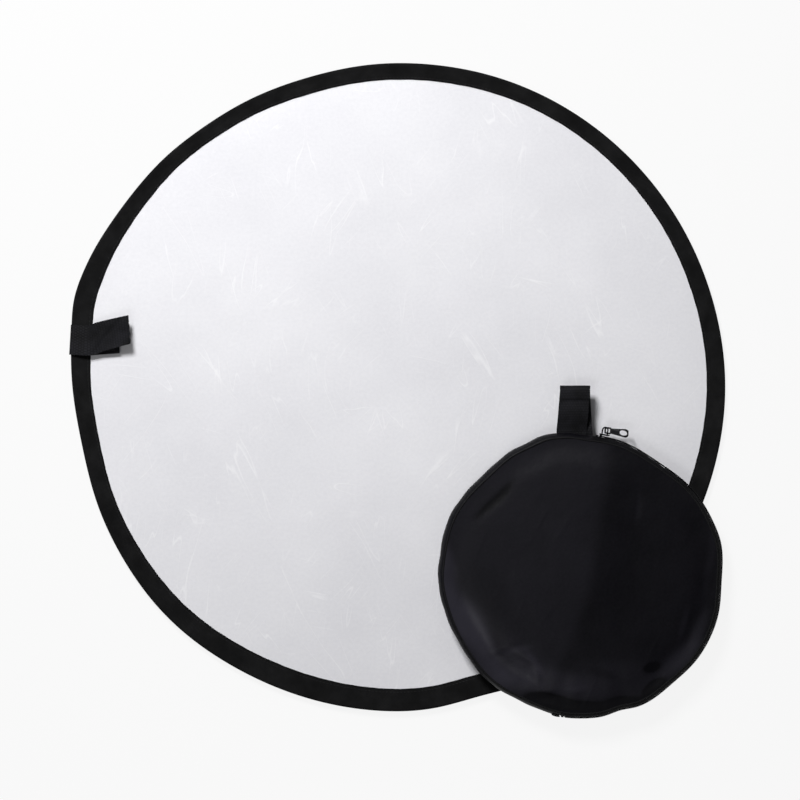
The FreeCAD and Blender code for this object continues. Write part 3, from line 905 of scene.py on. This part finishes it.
def crumple(piece):
    # a fold that runs across at a slant, edges that curl up, and an end cut at a slant and frayed
    place = points(piece)
    inward, sideways = [(place - np.array(strapPivot)) @ np.array(way) for way in (strapInward, strapAcross)]
    crease = inward - 0.6 * (sideways + 10 * mm) - 5 * mm
    crest = np.exp(-(crease / (1.6 * mm)) ** 2) * smoothStep(inward, 0, 6 * mm)
    valley = np.exp(-((crease - 3 * mm) / (2.4 * mm)) ** 2) * smoothStep(inward, 2 * mm, 9 * mm)
    edges = smoothStep(np.abs(sideways - 4 * mm), 5 * mm, 15 * mm) * smoothStep(inward, 9 * mm, 32 * mm)
    place[:, 2] += 0.8 * mm * crest - 0.7 * mm * valley + 1.2 * mm * edges
    skew = sideways * 0.2 * smoothStep(inward, 4 * mm, 34 * mm)
    skew += 0.35 * mm * np.sin(sideways / mm * 2.9) * smoothStep(inward, 33 * mm, 38 * mm)
    movePoints(piece, place + skew[:, None] * np.array(strapInward))


def makeTails():
    upper = tailRibbon("strapUpperTail", strap["upper"])
    crumple(upper)
    lower = tailRibbon("strapLowerTail", strap["lower"])
    for piece, look, nodeName, bodies, restsOn in (
        (upper, strap["upper"], "strap_upper_tail", ("strap_lower", "strap_upper"), "strapLowerTail"),
        (lower, strap["lower"], "strap_lower_tail", ("disc_left", "strap_lower"), "frontCloth"),
    ):
        bend = (*bodies, *[strapPoint(inward, 0) for inward in look["bend"]])
        dress(piece, finishes["strapWebbing"], "webbing", [nodeName], bend=bend)


patch = {
    "start": 10.5 * mm, "end": 25.5 * mm, "width": 22 * mm, "pitch": 1.05 * mm,
    # name, tail, height over the tail's middle, side that faces out, finish, slot, CAD node, body
    "pieces": [
        ("strapPilePatch", "lower", -1.08 * mm, 1, "pileTape", "pile", "strap_loop_patch", "strap_lower"),
        ("strapHookPatch", "upper", -1.3 * mm, -1, "hookPlastic", "hooks", "strap_hook_patch", "strap_upper"),
    ],
}


def patchMatrix(look, height):
    lift = math.radians(look["lift"])
    forward, across = headed(math.radians(look["turn"]))
    forward = forward * math.cos(lift) + upright * math.sin(lift)
    top = forward.cross(across)
    top = top if top.z > 0 else -top
    return axes(forward, across, top, strapPivot + top * height)


def makePatches():
    half = patch["width"] / 2
    outline = roundedOutline((patch["start"], -half), (patch["end"], half), 1.2 * mm)
    for name, tail, height, side, material, slotName, nodeName, body in patch["pieces"]:
        plate = flatPlate(name, [outline], 0.3 * mm, 0.08 * mm)
        deselectAll()
        bpy.ops.mesh.primitive_cone_add(vertices=5, radius1=0.28 * mm, radius2=0.1 * mm, depth=0.3 * mm)
        nub = named("nub")
        flip = Matrix.Rotation(0 if side > 0 else math.pi, 4, "X")
        spots = []
        for row in range(int((patch["end"] - patch["start"]) / patch["pitch"]) - 1):
            for column in range(int(patch["width"] / patch["pitch"]) - 1):
                x = patch["start"] + (row + 1) * patch["pitch"]
                y = (column + 1 + 0.4 * (row % 2)) * patch["pitch"] - half
                spots.append(Matrix.Translation((x, y, side * 0.25 * mm)) @ flip)
        piece = joinedPiece(name, [plate, copies("nubs", nub, spots)])
        layUv(piece)
        piece.data.transform(patchMatrix(strap[tail], height))
        dress(piece, finishes[material], slotName, [nodeName], body=body, angle=30)


def makeStrapStitches():
    # a box of stitches through the strap and the rim
    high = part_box("strap_stitching")[1]
    half = strap["width"] / 2 - 2.6 * mm
    near, far = -12.2 * mm, -4.4 * mm
    height = high.z - strapPivot.z - 0.14 * mm
    matrices = []
    for inward in (near, far):
        for step in range(8):
            sideways = half * (2 * (step + 0.5) / 8 - 1)
            matrices.append(axes(strapAcross, -strapInward, upright, strapPoint(inward, height, sideways)))
    for sideways in (-half, half):
        for step in range(3):
            inward = near + (far - near) * (step + 0.5) / 3
            matrices.append(axes(strapInward, strapAcross, upright, strapPoint(inward, height, sideways)))
    piece = copies("strapStitches", oneStitch(), matrices)
    layUv(piece)
    dress(piece, finishes["blackThread"], "thread", ["strap_stitching"], body="disc_left")


makeStrapRoot()
makeTails()
makePatches()
makeStrapStitches()
print("strap made")


# the carry bag

bagLow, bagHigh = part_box("bag_back_panel")
bagSpot = ((bagLow.x + bagHigh.x) / 2, (bagLow.y + bagHigh.y) / 2)
seamRadius = (bagHigh.x - bagLow.x) / 2
gussetLow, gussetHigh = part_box("bag_gusset")
bagRadius = bagSpot[0] - gussetLow.x
bagBottom, bagTop = gussetLow.z, gussetHigh.z
bagMiddle = (bagBottom + bagTop) / 2
mouthJoint = jointNamed["bag_mouth_open"]
mouthPivot = Vector(mouthJoint["pos_m"])
mouthAcross = Vector(mouthJoint["axis"]).normalized()
mouthOut = mouthAcross.cross(upright)
mouthOut = mouthOut if mouthOut.x > 0 else -mouthOut
mouthBend = ("bag", "bag_mouth", mouthPivot - mouthOut * 0.003, mouthPivot + mouthOut * 0.038)
mouthStart, mouthEnd = -98.86, 85.46     # the azimuths between which the zip runs
zipMiddle = Vector(jointNamed["zip_travel"]["pos_m"])

bag = {
    "steps": 240,
    "rings": 46,
    "thickness": 0.7 * mm,
    "crown": 3.6 * mm,
    # how the outline leaves the round: azimuth, change, spread
    "bulges": [(14, 1.1 * mm, 8), (56, -3.8 * mm, 15), (94, 1.6 * mm, 5), (103, 4.4 * mm, 8),
               (119, 2.9 * mm, 11), (130, -0.6 * mm, 8), (156, 3.6 * mm, 16), (181, 2.2 * mm, 10),
               (212, -1.5 * mm, 13), (245, -2.2 * mm, 12), (272, -0.5 * mm, 8), (286, -2.8 * mm, 6),
               (311, -2.0 * mm, 10), (357, -2.1 * mm, 10)],
    # dents and rises of the front: across, up, long radius, short radius, heading, height
    "dents": [(-77, -66, 15, 4, 25, 1.3), (-52, -72, 14, 4, -35, 1.2), (-43, -90, 12, 4, -75, 1.0),
              (-64, -92, 20, 12, 20, -1.4), (-40, -113, 18, 4, 10, -2.6), (-12, -118, 14, 4, -6, -2.0),
              (-34, -104, 24, 4, 6, 1.5), (-58, -106, 10, 3, 30, 0.9), (18, -112, 20, 4, 4, 1.0),
              (-74, 74, 15, 4, 48, -0.6), (-88, 60, 14, 4, 48, -0.5), (69, -99, 9, 5, 20, -1.7),
              (95, -60, 20, 6, 78, -1.3), (104, -70, 20, 4, 60, 1.1), (107, -86, 14, 4, 40, -1.2),
              (60, -113, 12, 5, 15, -1.9), (76, -106, 14, 4, 35, 1.0), (51, 64, 11, 2.2, 80, -0.6),
              (8, -114, 36, 5, 0, -1.4), (-118, 0, 18, 5, 80, -1.1)],
    # flats that fall away towards the edge: outward heading, distance from the centre, slope
    "flats": [(207, 92, 0.2), (186, 108, 0.12), (233, 90, 0.15), (300, 100, 0.1), (322, 98, 0.13),
              (340, 106, 0.1)],
    "ridge": 2.4 * mm,
    # painted light and shade in the front's base colour: plain level, how much painted shade right of the
    # ridge, and painted light and shade patches (across, up, long radius, short radius, heading, change)
    "paintedShading": 0.16,
    "turned": 0.15,
    "paintedPatches": [(-122, 6, 24, 9, 97, 0.55), (-105, -42, 34, 14, 121, 0.8), (-82, -86, 22, 11, 128, 0.4),
                (-60, -83, 22, 20, 0, 0.34), (-88, -56, 22, 4, 118, 0.2), (-44, -78, 14, 3, -58, 0.3),
                (-62, -66, 16, 3, 12, 0.2), (-26, -96, 40, 13, -12, 0.3), (30, -94, 46, 18, 4, 0.2),
                (-32, -113, 19, 6, -6, -1.2), (-2, -119, 24, 5, -4, -1.0), (34, -117, 24, 5, 8, -0.7),
                (64, -83, 8, 4, 10, -0.5), (66, -101, 11, 5, 30, -0.8), (18, -88, 14, 4, -20, -0.12),
                (92, -74, 24, 10, 42, 0.34), (106, -48, 20, 5, 68, 0.24), (92, -42, 16, 3, 74, 0.16),
                (98, -88, 26, 4, 43, 0.4), (-76, -108, 8, 3, -40, -0.5), (-14, -104, 16, 3, 14, 0.2),
                (-74, 74, 16, 4, 50, -0.3), (-88, 61, 12, 3, 48, -0.26), (-84, -12, 26, 16, 112, -0.07),
                (51, 66, 14, 1.8, 82, 0.1), (118, 30, 44, 4, 84, 0.12), (-40, 104, 60, 10, 20, 0.05)],
}


def fitToBag(piece, fading=False):
    # carries round points onto the bag's uneven outline; a panel's shift fades towards its middle
    place = points(piece)
    turn, reach = polar(place, bagSpot)
    share = smoothStep(reach / seamRadius, 0.35, 1.0) if fading else 1.0
    grow = 1 + addBumps(np.degrees(turn), bag["bulges"]) / bagRadius * share
    place[:, :2] = np.array(bagSpot) + (place[:, :2] - np.array(bagSpot)) * grow[:, None]
    movePoints(piece, place)


def ovalReach(x, y, middleX, middleY, long, short, heading):
    # squared distance from an oval's middle, 1 at its edge
    turn = math.radians(heading)
    along = ((x - middleX) * math.cos(turn) + (y - middleY) * math.sin(turn)) / long
    across = ((y - middleY) * math.cos(turn) - (x - middleX) * math.sin(turn)) / short
    return along ** 2 + across ** 2


def frontRelief(place):
    # the slack front: a low crown, a soft upright ridge, and dents towards its lower edge
    x, y = ((place[:, :2] - np.array(bagSpot)) / mm).T
    share = np.hypot(x, y) * mm / seamRadius
    rise = bag["crown"] * (1 - share ** 2.4) / mm
    away = x - 6 - 0.16 * y
    ridge = np.exp(-(away / np.where(away > 0, 26, 60)) ** 2) * smoothStep(y, -80, 10)
    rise += bag["ridge"] / mm * ridge
    for *oval, height in bag["dents"]:
        rise += height * np.exp(-ovalReach(x, y, *oval))
    for heading, distance, slope in bag["flats"]:
        turn = math.radians(heading)
        beyond = x * math.cos(turn) + y * math.sin(turn) - distance
        rise -= slope * 4 * np.logaddexp(0, beyond / 4)
    turn = np.arctan2(y, x)
    gathers = (np.sin(turn * 23 + 1) + 0.7 * np.sin(turn * 37)) * smoothStep(share, 0.6, 0.95)
    rise += smoothStep(-y, 30, 120) * 0.35 * gathers
    rise += 0.14 * np.sin(turn * 71 + 3 * np.sin(turn * 9)) * smoothStep(share, 0.86, 0.97)
    return smoothStep(1 - share, 0.0, 0.2) * rise * mm


def backRelief(place):
    return 0.15 * mm * np.sin(place[:, 0] * 70) * np.sin(place[:, 1] * 55)


def paintedShadingAt(place):
    # painted light and shade for the base colour: a plain level, painted shade right of the ridge, and
    # painted light and shade patches
    x, y = ((place[:, :2] - np.array(bagSpot)) / mm).T
    paintedShading = bag["paintedShading"] - bag["turned"] * smoothStep(x - 5 - 0.16 * y + 0.0022 * y ** 2 * (y < 0), -7, 9)
    for *oval, change in bag["paintedPatches"]:
        paintedShading += change * np.exp(-ovalReach(x, y, *oval) ** 1.8)
    return paintedShading


def makePanel(name, height, relief, nodeNames, body=None, bend=None):
    radii = [seamRadius * (ring / bag["rings"]) ** 0.85 for ring in range(bag["rings"] + 1)]
    chain = [(radius, height) for radius in radii]
    chain += [(radius, height - bag["thickness"]) for radius in radii[::-1]]
    piece = spun(name, chain, bag["steps"], closed=False, centre=bagSpot)
    layUv(piece)
    place = points(piece)
    # painted light and shade for the base colour, kept per point
    paintedPatches = piece.data.attributes.new("paintedShading", "FLOAT", "POINT")
    paintedPatches.data.foreach_set("value", paintedShadingAt(place).astype(np.float32))
    place[:, 2] += relief(place)
    movePoints(piece, place)
    fitToBag(piece, fading=True)
    dress(piece, finishes["bagSatin"], "bag_cloth", nodeNames, body=body, bend=bend, angle=60)


def wallChain(low, high, thickness=0.6 * mm, steps=9):
    # the side wall bulges between its two seams
    outer = []
    for step in range(steps + 1):
        height = low + (high - low) * step / steps
        share = (height - bagBottom) / (bagTop - bagBottom)
        bulge = max(0.0, 1 - abs(2 * share - 1) ** 2.6)
        outer.append((seamRadius + (bagRadius - seamRadius) * bulge, height))
    return outer + [(radius - thickness, height) for radius, height in outer[::-1]]


def makeWall(name, low, high, start, span, ripples, restsOn, material, slotName, nodeName, **carried):
    # part of the side wall; ripples are how many there are all round, and their size
    chain = wallChain(low, high)
    piece = spun(name, chain, 150, start, span, centre=bagSpot)
    layRoundUv(piece, bagSpot, bagRadius)
    count, size = ripples
    place = points(piece)
    turn, _ = polar(place, bagSpot)
    middle = 1 - np.abs(place[:, 2] - bagMiddle) / (bagTop - bagBottom) * 2
    wave = np.sin(turn * count) + 0.7 * np.sin(turn * count * 0.43 + 2)
    scale = 1 + size * wave * np.clip(middle, 0, 1) / bagRadius
    place[:, :2] = np.array(bagSpot) + (place[:, :2] - np.array(bagSpot)) * scale[:, None]
    movePoints(piece, place)
    fitToBag(piece)
    dress(piece, finishes[material], slotName, [nodeName], angle=60, **carried)


def makeWalls():
    span = mouthEnd - mouthStart
    makeWall("bagGusset", bagBottom, bagTop, mouthEnd + 0.15, 360.0 - span - 0.3, (31, 0.22 * mm),
             "bagEdgeTapeBack", "bagSatin", "bag_cloth", "bag_gusset", body="bag")
    gapHalf = 0.5 * mm
    tape = (mouthStart, span, (52, 0.2 * mm), "bagGusset", "zipTapeCloth", "zip_tape")
    makeWall("zipTapeBack", bagBottom, bagMiddle - gapHalf, *tape, "zip_tape_back", body="bag")
    makeWall("zipTapeFront", bagMiddle + gapHalf, bagTop, *tape, "zip_tape_front", bend=mouthBend)


tooth = {"pitch": 1.0 * mm, "wire": 0.86 * mm, "height": 2.0 * mm, "depth": 1.3 * mm, "end": 83.0}


def oneTooth():
    # one turn of the coil: a bent wire that comes round the tape's edge
    deselectAll()
    bpy.ops.mesh.primitive_torus_add(major_segments=8, minor_segments=5, major_radius=0.5, minor_radius=0.16)
    return resized(named("tooth"), (tooth["depth"] / 1.32, tooth["height"] / 1.32, tooth["wire"] / 0.32))


def makeCoils():
    first = mouthStart + 2.1
    span = tooth["end"] - first
    count = int(math.radians(span) * bagRadius / tooth["pitch"])
    for name, side, nodeName, body, bend in (
        ("zipCoilBack", -1, "zip_coil_back", "bag", None),
        ("zipCoilFront", 1, "zip_coil_front", None, mouthBend),
    ):
        height = zipMiddle.z + side * (0.45 * mm + tooth["height"] / 2)
        matrices = []
        for step in range(count):
            out, along = ringAxes(first + span * (step + (0.5 if side > 0 else 0.0)) / count)
            spot = Vector((*bagSpot, height)) + out * (bagRadius + tooth["depth"] / 2)
            matrices.append(axes(out, upright, -along, spot))
        piece = copies(name, oneTooth(), matrices)
        fitToBag(piece)
        dress(piece, finishes["coilNylon"], "zip_coil", [nodeName], body=body, bend=bend, angle=60)


def makeEdgeTapes():
    # narrow folded tape that stands up along each seam
    section = [(-0.4, -0.9), (-0.6, -0.2), (-0.55, 0.4), (-0.2, 0.66), (0.25, 0.62), (0.55, 0.3), (0.6, -0.2),
               (0.3, -0.5), (0.1, -0.9)]
    for name, height, side, nodes, body, bend in (
        ("bagEdgeTapeFront", bagTop, 1, ["bag_edge_tape_front", "bag_edge_tape_flap"], None, mouthBend),
        ("bagEdgeTapeBack", bagBottom, -1, ["bag_edge_tape_back"], "bag", None),
    ):
        chain = [(seamRadius - inset * mm, height + side * rise * mm) for inset, rise in section]
        piece = spun(name, chain, bag["steps"], centre=bagSpot)
        layRoundUv(piece, bagSpot, seamRadius)
        fitToBag(piece)
        dress(piece, finishes["edgeTape"], "edge_tape", nodes, body=body, bend=bend, angle=60)


makePanel("bagFrontPanel", bagTop - 0.1 * mm, frontRelief, ["bag_front_panel", "bag_mouth_flap"],
          bend=mouthBend)
makePanel("bagBackPanel", bagBottom + 0.75 * mm, backRelief, ["bag_back_panel"], body="bag")
makeWalls()
makeCoils()
makeEdgeTapes()
print("bag made")


# slider, pull, stops and end tab

pullJoint = jointNamed["zip_pull_swing"]
pullPivot = Vector(pullJoint["pos_m"])
sliderOut = (pullPivot - zipMiddle).normalized()
sliderAlong = sliderOut.cross(upright)        # the way the zip opens
pullRadius = (pullPivot - zipMiddle).length
pullAcross = -Vector(pullJoint["axis"]).normalized()
pullFace = sliderAlong.cross(pullAcross)

slider = {
    "plate": 1.1 * mm, "half": 4.5 * mm, "tall": 5.0 * mm, "inner": 127.7 * mm, "outer": 130.9 * mm,
    "arch": 2.45 * mm, "wire": 0.68 * mm, "corner": 1.6 * mm, "rail": 1.2 * mm,
}


def sliderPlate(radius, outline, thickness, bevel):
    # drawn with x along the zip and y up, then stood up against the bag
    plate = flatPlate("plate", [outline], thickness, bevel)
    spot = zipMiddle + sliderOut * radius
    plate.data.transform(axes(sliderAlong, upright, sliderAlong.cross(upright), spot))
    return plate


def makeCrown():
    # the arch over the slider that holds the pull
    deselectAll()
    bpy.ops.mesh.primitive_torus_add(major_segments=28, minor_segments=10, major_radius=slider["arch"],
                                     minor_radius=slider["wire"])
    crown = named("crown")
    bpy.ops.object.mode_set(mode="EDIT")
    bpy.ops.mesh.select_all(action="SELECT")
    bpy.ops.mesh.bisect(plane_co=(0, 0, 0), plane_no=(1, 0, 0), clear_inner=True)
    bpy.ops.mesh.select_all(action="DESELECT")
    bpy.ops.mesh.select_non_manifold()
    drop = pullRadius - slider["outer"] - slider["plate"] / 2
    bpy.ops.mesh.extrude_region_move(TRANSFORM_OT_translate={"value": (-drop, 0, 0)})
    bpy.ops.mesh.fill_holes(sides=0)
    bpy.ops.object.mode_set(mode="OBJECT")
    tidyMesh(crown)
    crown.data.transform(axes(sliderOut, -sliderAlong, upright, pullPivot))
    return crown


def makeSlider():
    half, tall, thick = slider["half"], slider["tall"], slider["plate"]
    inner, outer = slider["inner"], slider["outer"]
    waisted = [(x, y * (1 - 0.16 * smoothStep(x, -half, half)))
               for x, y in roundedOutline((-half, -tall), (half, tall), slider["corner"])]
    radii = (inner - thick / 2, outer + thick / 2)
    parts = [sliderPlate(radius, waisted, thick, 0.25 * mm) for radius in radii]
    for side in (-1, 1):      # rails that keep the tape in
        end, height = half - slider["rail"], side * tall * 0.88
        rail = roundedOutline((-end, height - 0.35 * mm), (end, height + 0.35 * mm), 0.3 * mm, 3)
        parts.append(sliderPlate(outer - 0.1 * mm, rail, 0.5 * mm, 0.1 * mm))
    neck = roundedOutline((-half + 0.2 * mm, -0.33 * mm), (-half + 2.3 * mm, 0.33 * mm), 0.25 * mm, 3)
    parts.append(sliderPlate((outer + inner) / 2, neck, outer - inner + 0.4 * mm, 0))
    piece = joinedPiece("zipSliderBody", parts + [makeCrown()])
    dress(piece, finishes["zipLacquer"], "zip_metal", ["zip_slider_body"], body="zip_slider", angle=35)


pull = {"length": 21.5 * mm, "width": 9.4 * mm, "thick": 1.3 * mm, "eyeWidth": 7.4 * mm, "eyeHole": 5.1 * mm,
        "eyeLength": 5.1 * mm, "bar": 0.75 * mm, "eyeCorner": 1.4 * mm, "corner": 3 * mm}


def makePull():
    half, eye, bar = pull["width"] / 2, pull["eyeWidth"] / 2, pull["bar"]
    neck, corner, eyeCorner = pull["eyeLength"], pull["corner"], pull["eyeCorner"]
    # eye end, waist, then a blade that widens and ends round
    outline = quarter((0.7 * mm, eyeCorner - eye), eyeCorner, 180, 6)
    outline += [(neck - 0.4 * mm, -eye), (neck + 0.6 * mm, -eye + 0.9 * mm),
                (neck + 2.2 * mm, -eye + 0.7 * mm)]
    outline += quarter((pull["length"] - corner, corner - half), corner, -90, 8)
    outline += [(x, -y) for x, y in outline[::-1]]
    window = roundedOutline((bar, -pull["eyeHole"] / 2), (neck - bar, pull["eyeHole"] / 2), 0.5 * mm)
    holeEnd = pull["length"] - 1.3 * mm
    hole = roundedOutline((holeEnd - 6.8 * mm, -3.2 * mm), (holeEnd, 3.2 * mm), 2.8 * mm)
    blade = flatPlate("blade", [outline, window, hole], pull["thick"], 0.28 * mm)
    panel = roundedOutline((neck + 1.8 * mm, -1.7 * mm), (holeEnd - 7.6 * mm, 1.7 * mm), 0.8 * mm)
    raised = flatPlate("raised", [panel], pull["thick"] + 0.3 * mm, 0.15 * mm)
    piece = joinedPiece("zipPull", [blade, raised])
    piece.data.transform(axes(sliderAlong, pullAcross, pullFace, pullPivot))
    dress(piece, finishes["zipLacquer"], "zip_metal", ["zip_pull"], body="zip_pull", angle=35)


def onWall(nodeName):
    # outwards and along the side wall at a CAD node, and the wall's own spot there
    low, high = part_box(nodeName)
    middle = (low + high) / 2
    out = Vector((middle.x - bagSpot[0], middle.y - bagSpot[1], 0)).normalized()
    return out, out.cross(upright), Vector((*bagSpot, middle.z)) + out * bagRadius


def makeStops():
    outline = roundedOutline((-1.2 * mm, -1.0 * mm), (1.2 * mm, 1.0 * mm), 0.5 * mm, 4)
    for name, nodeName, body, bend in (
        ("zipTopStopBack", "zip_top_stop_back", "bag", None),
        ("zipTopStopFront", "zip_top_stop_front", None, mouthBend),
        ("zipBottomStop", "zip_bottom_stop", "bag", None),
    ):
        out, along, spot = onWall(nodeName)
        clip = flatPlate(name, [outline], 1.3 * mm, 0.25 * mm)
        clip.data.transform(axes(along, upright, along.cross(upright), spot + out * 0.75 * mm))
        fitToBag(clip)
        dress(clip, finishes["zipLacquer"], "zip_metal", [nodeName], body=body, bend=bend, angle=35)


def makeEndTab():
    # a folded scrap of bag cloth that closes the zip's lower end
    out, along, spot = onWall("zip_end_tab")
    stations = [(spot + out * (0.85 - 0.45 * share ** 2) * mm + along * (3.6 * mm * share), upright)
                for share in (-1.0, -0.7, -0.35, 0.0, 0.35, 0.7, 1.0)]
    piece = ribbon("zipEndTab", stations, 11 * mm, 0.7 * mm, 8)
    fitToBag(piece)
    dress(piece, finishes["bagSatin"], "bag_cloth", ["zip_end_tab"], body="bag")


makeSlider()
makePull()
makeStops()
makeEndTab()
print("zip made")


# the hanging loop

loopPivot = Vector(jointNamed["bag_loop_bend"]["pos_m"])
loopLow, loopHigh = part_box("bag_loop")
loop = {
    "width": 27.5 * mm, "thickness": 1.1 * mm, "lean": 2.4 * mm, "behind": 4.6 * mm, "start": -1.0 * mm,
    "hem": 10 * mm, "end": 0.56 * mm,      # end: half the gap between the layers where they're sewn
    # where the stations lie, as shares of the reach
    "shares": (-0.16, -0.1, -0.04, 0.02, 0.08, 0.16, 0.26, 0.38, 0.5, 0.62, 0.74, 0.84),
}


def makeLoop():
    # webbing doubled back on itself, its far layer showing a little to the right
    reach = loopHigh.y - loopPivot.y - loop["thickness"] / 2
    tall = (loopHigh.z - loopLow.z) / 2 - loop["thickness"] / 2
    side = [(reach * share, loop["end"] + (tall - loop["end"]) * float(smoothStep(share, 0.0, 0.42)))
            for share in loop["shares"]]
    end = side[-1][0]
    turns = [math.radians(90 - 180 * step / 12) for step in range(1, 12)]
    nose = [(end + (reach - end) * math.cos(turn), tall * math.sin(turn)) for turn in turns]
    chain = side + nose + [(along, -height) for along, height in side[::-1]]
    stations = []
    for index, (along, height) in enumerate(chain):
        share = max(0.0, along / reach)
        below = float(smoothStep(index / (len(chain) - 1), 0.42, 0.6))
        foot = loop["start"] + (loop["behind"] - loop["start"]) * below
        shift = foot + (loop["lean"] - foot) * share
        stations.append((loopPivot + Vector((shift, along, height)), rightwards))
    band = ribbon("bagLoop", stations, loop["width"], loop["thickness"], 14)
    hem = []      # the webbing's end, turned down and sewn under the top
    for step in range(7):
        along = reach - 2.2 * mm - loop["hem"] * step / 6
        height = tall + 0.95 * loop["thickness"] - 0.5 * mm * (step == 0) - 0.25 * mm * (step == 6)
        hem.append((loopPivot + Vector((loop["lean"] * 0.95 - 0.02 * step * mm, along, height)), rightwards))
    hem = ribbon("bagLoopHem", hem, loop["width"] - 0.6 * mm, loop["thickness"], 8)
    piece = joinedPiece("bagLoop", [band, hem])
    bend = ("bag", "bag_loop", loopPivot + Vector((0, -1.0 * mm, 0)), loopPivot + Vector((0, 5 * mm, 0)))
    dress(piece, finishes["strapWebbing"], "webbing", ["bag_loop", "bag_loop_root"], bend=bend)


def makeLoopStitches():
    low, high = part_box("bag_loop_stitching")
    matrices = []
    for along in (-2.9 * mm, -1.7 * mm):
        for step in range(8):
            across = (low.x + high.x) / 2 + (high.x - low.x) * ((step + 0.5) / 8 - 0.5)
            spot = Vector((across, loopPivot.y + along, loopPivot.z + 1.2 * mm))
            matrices.append(axes(rightwards, Vector((0, 1, 0)), upright, spot))
    piece = copies("bagLoopStitches", oneStitch(), matrices)
    layUv(piece)
    dress(piece, finishes["blackThread"], "thread", ["bag_loop_stitching"], body="bag")


makeLoop()
makeLoopStitches()
print("loop made")


# the sleeve, which keeps its CAD shape

kept = frame["nodes"]["hoop_sleeve"]
kept.data.materials.clear()
kept.data.materials.append(finishes["sleeveMetal"])
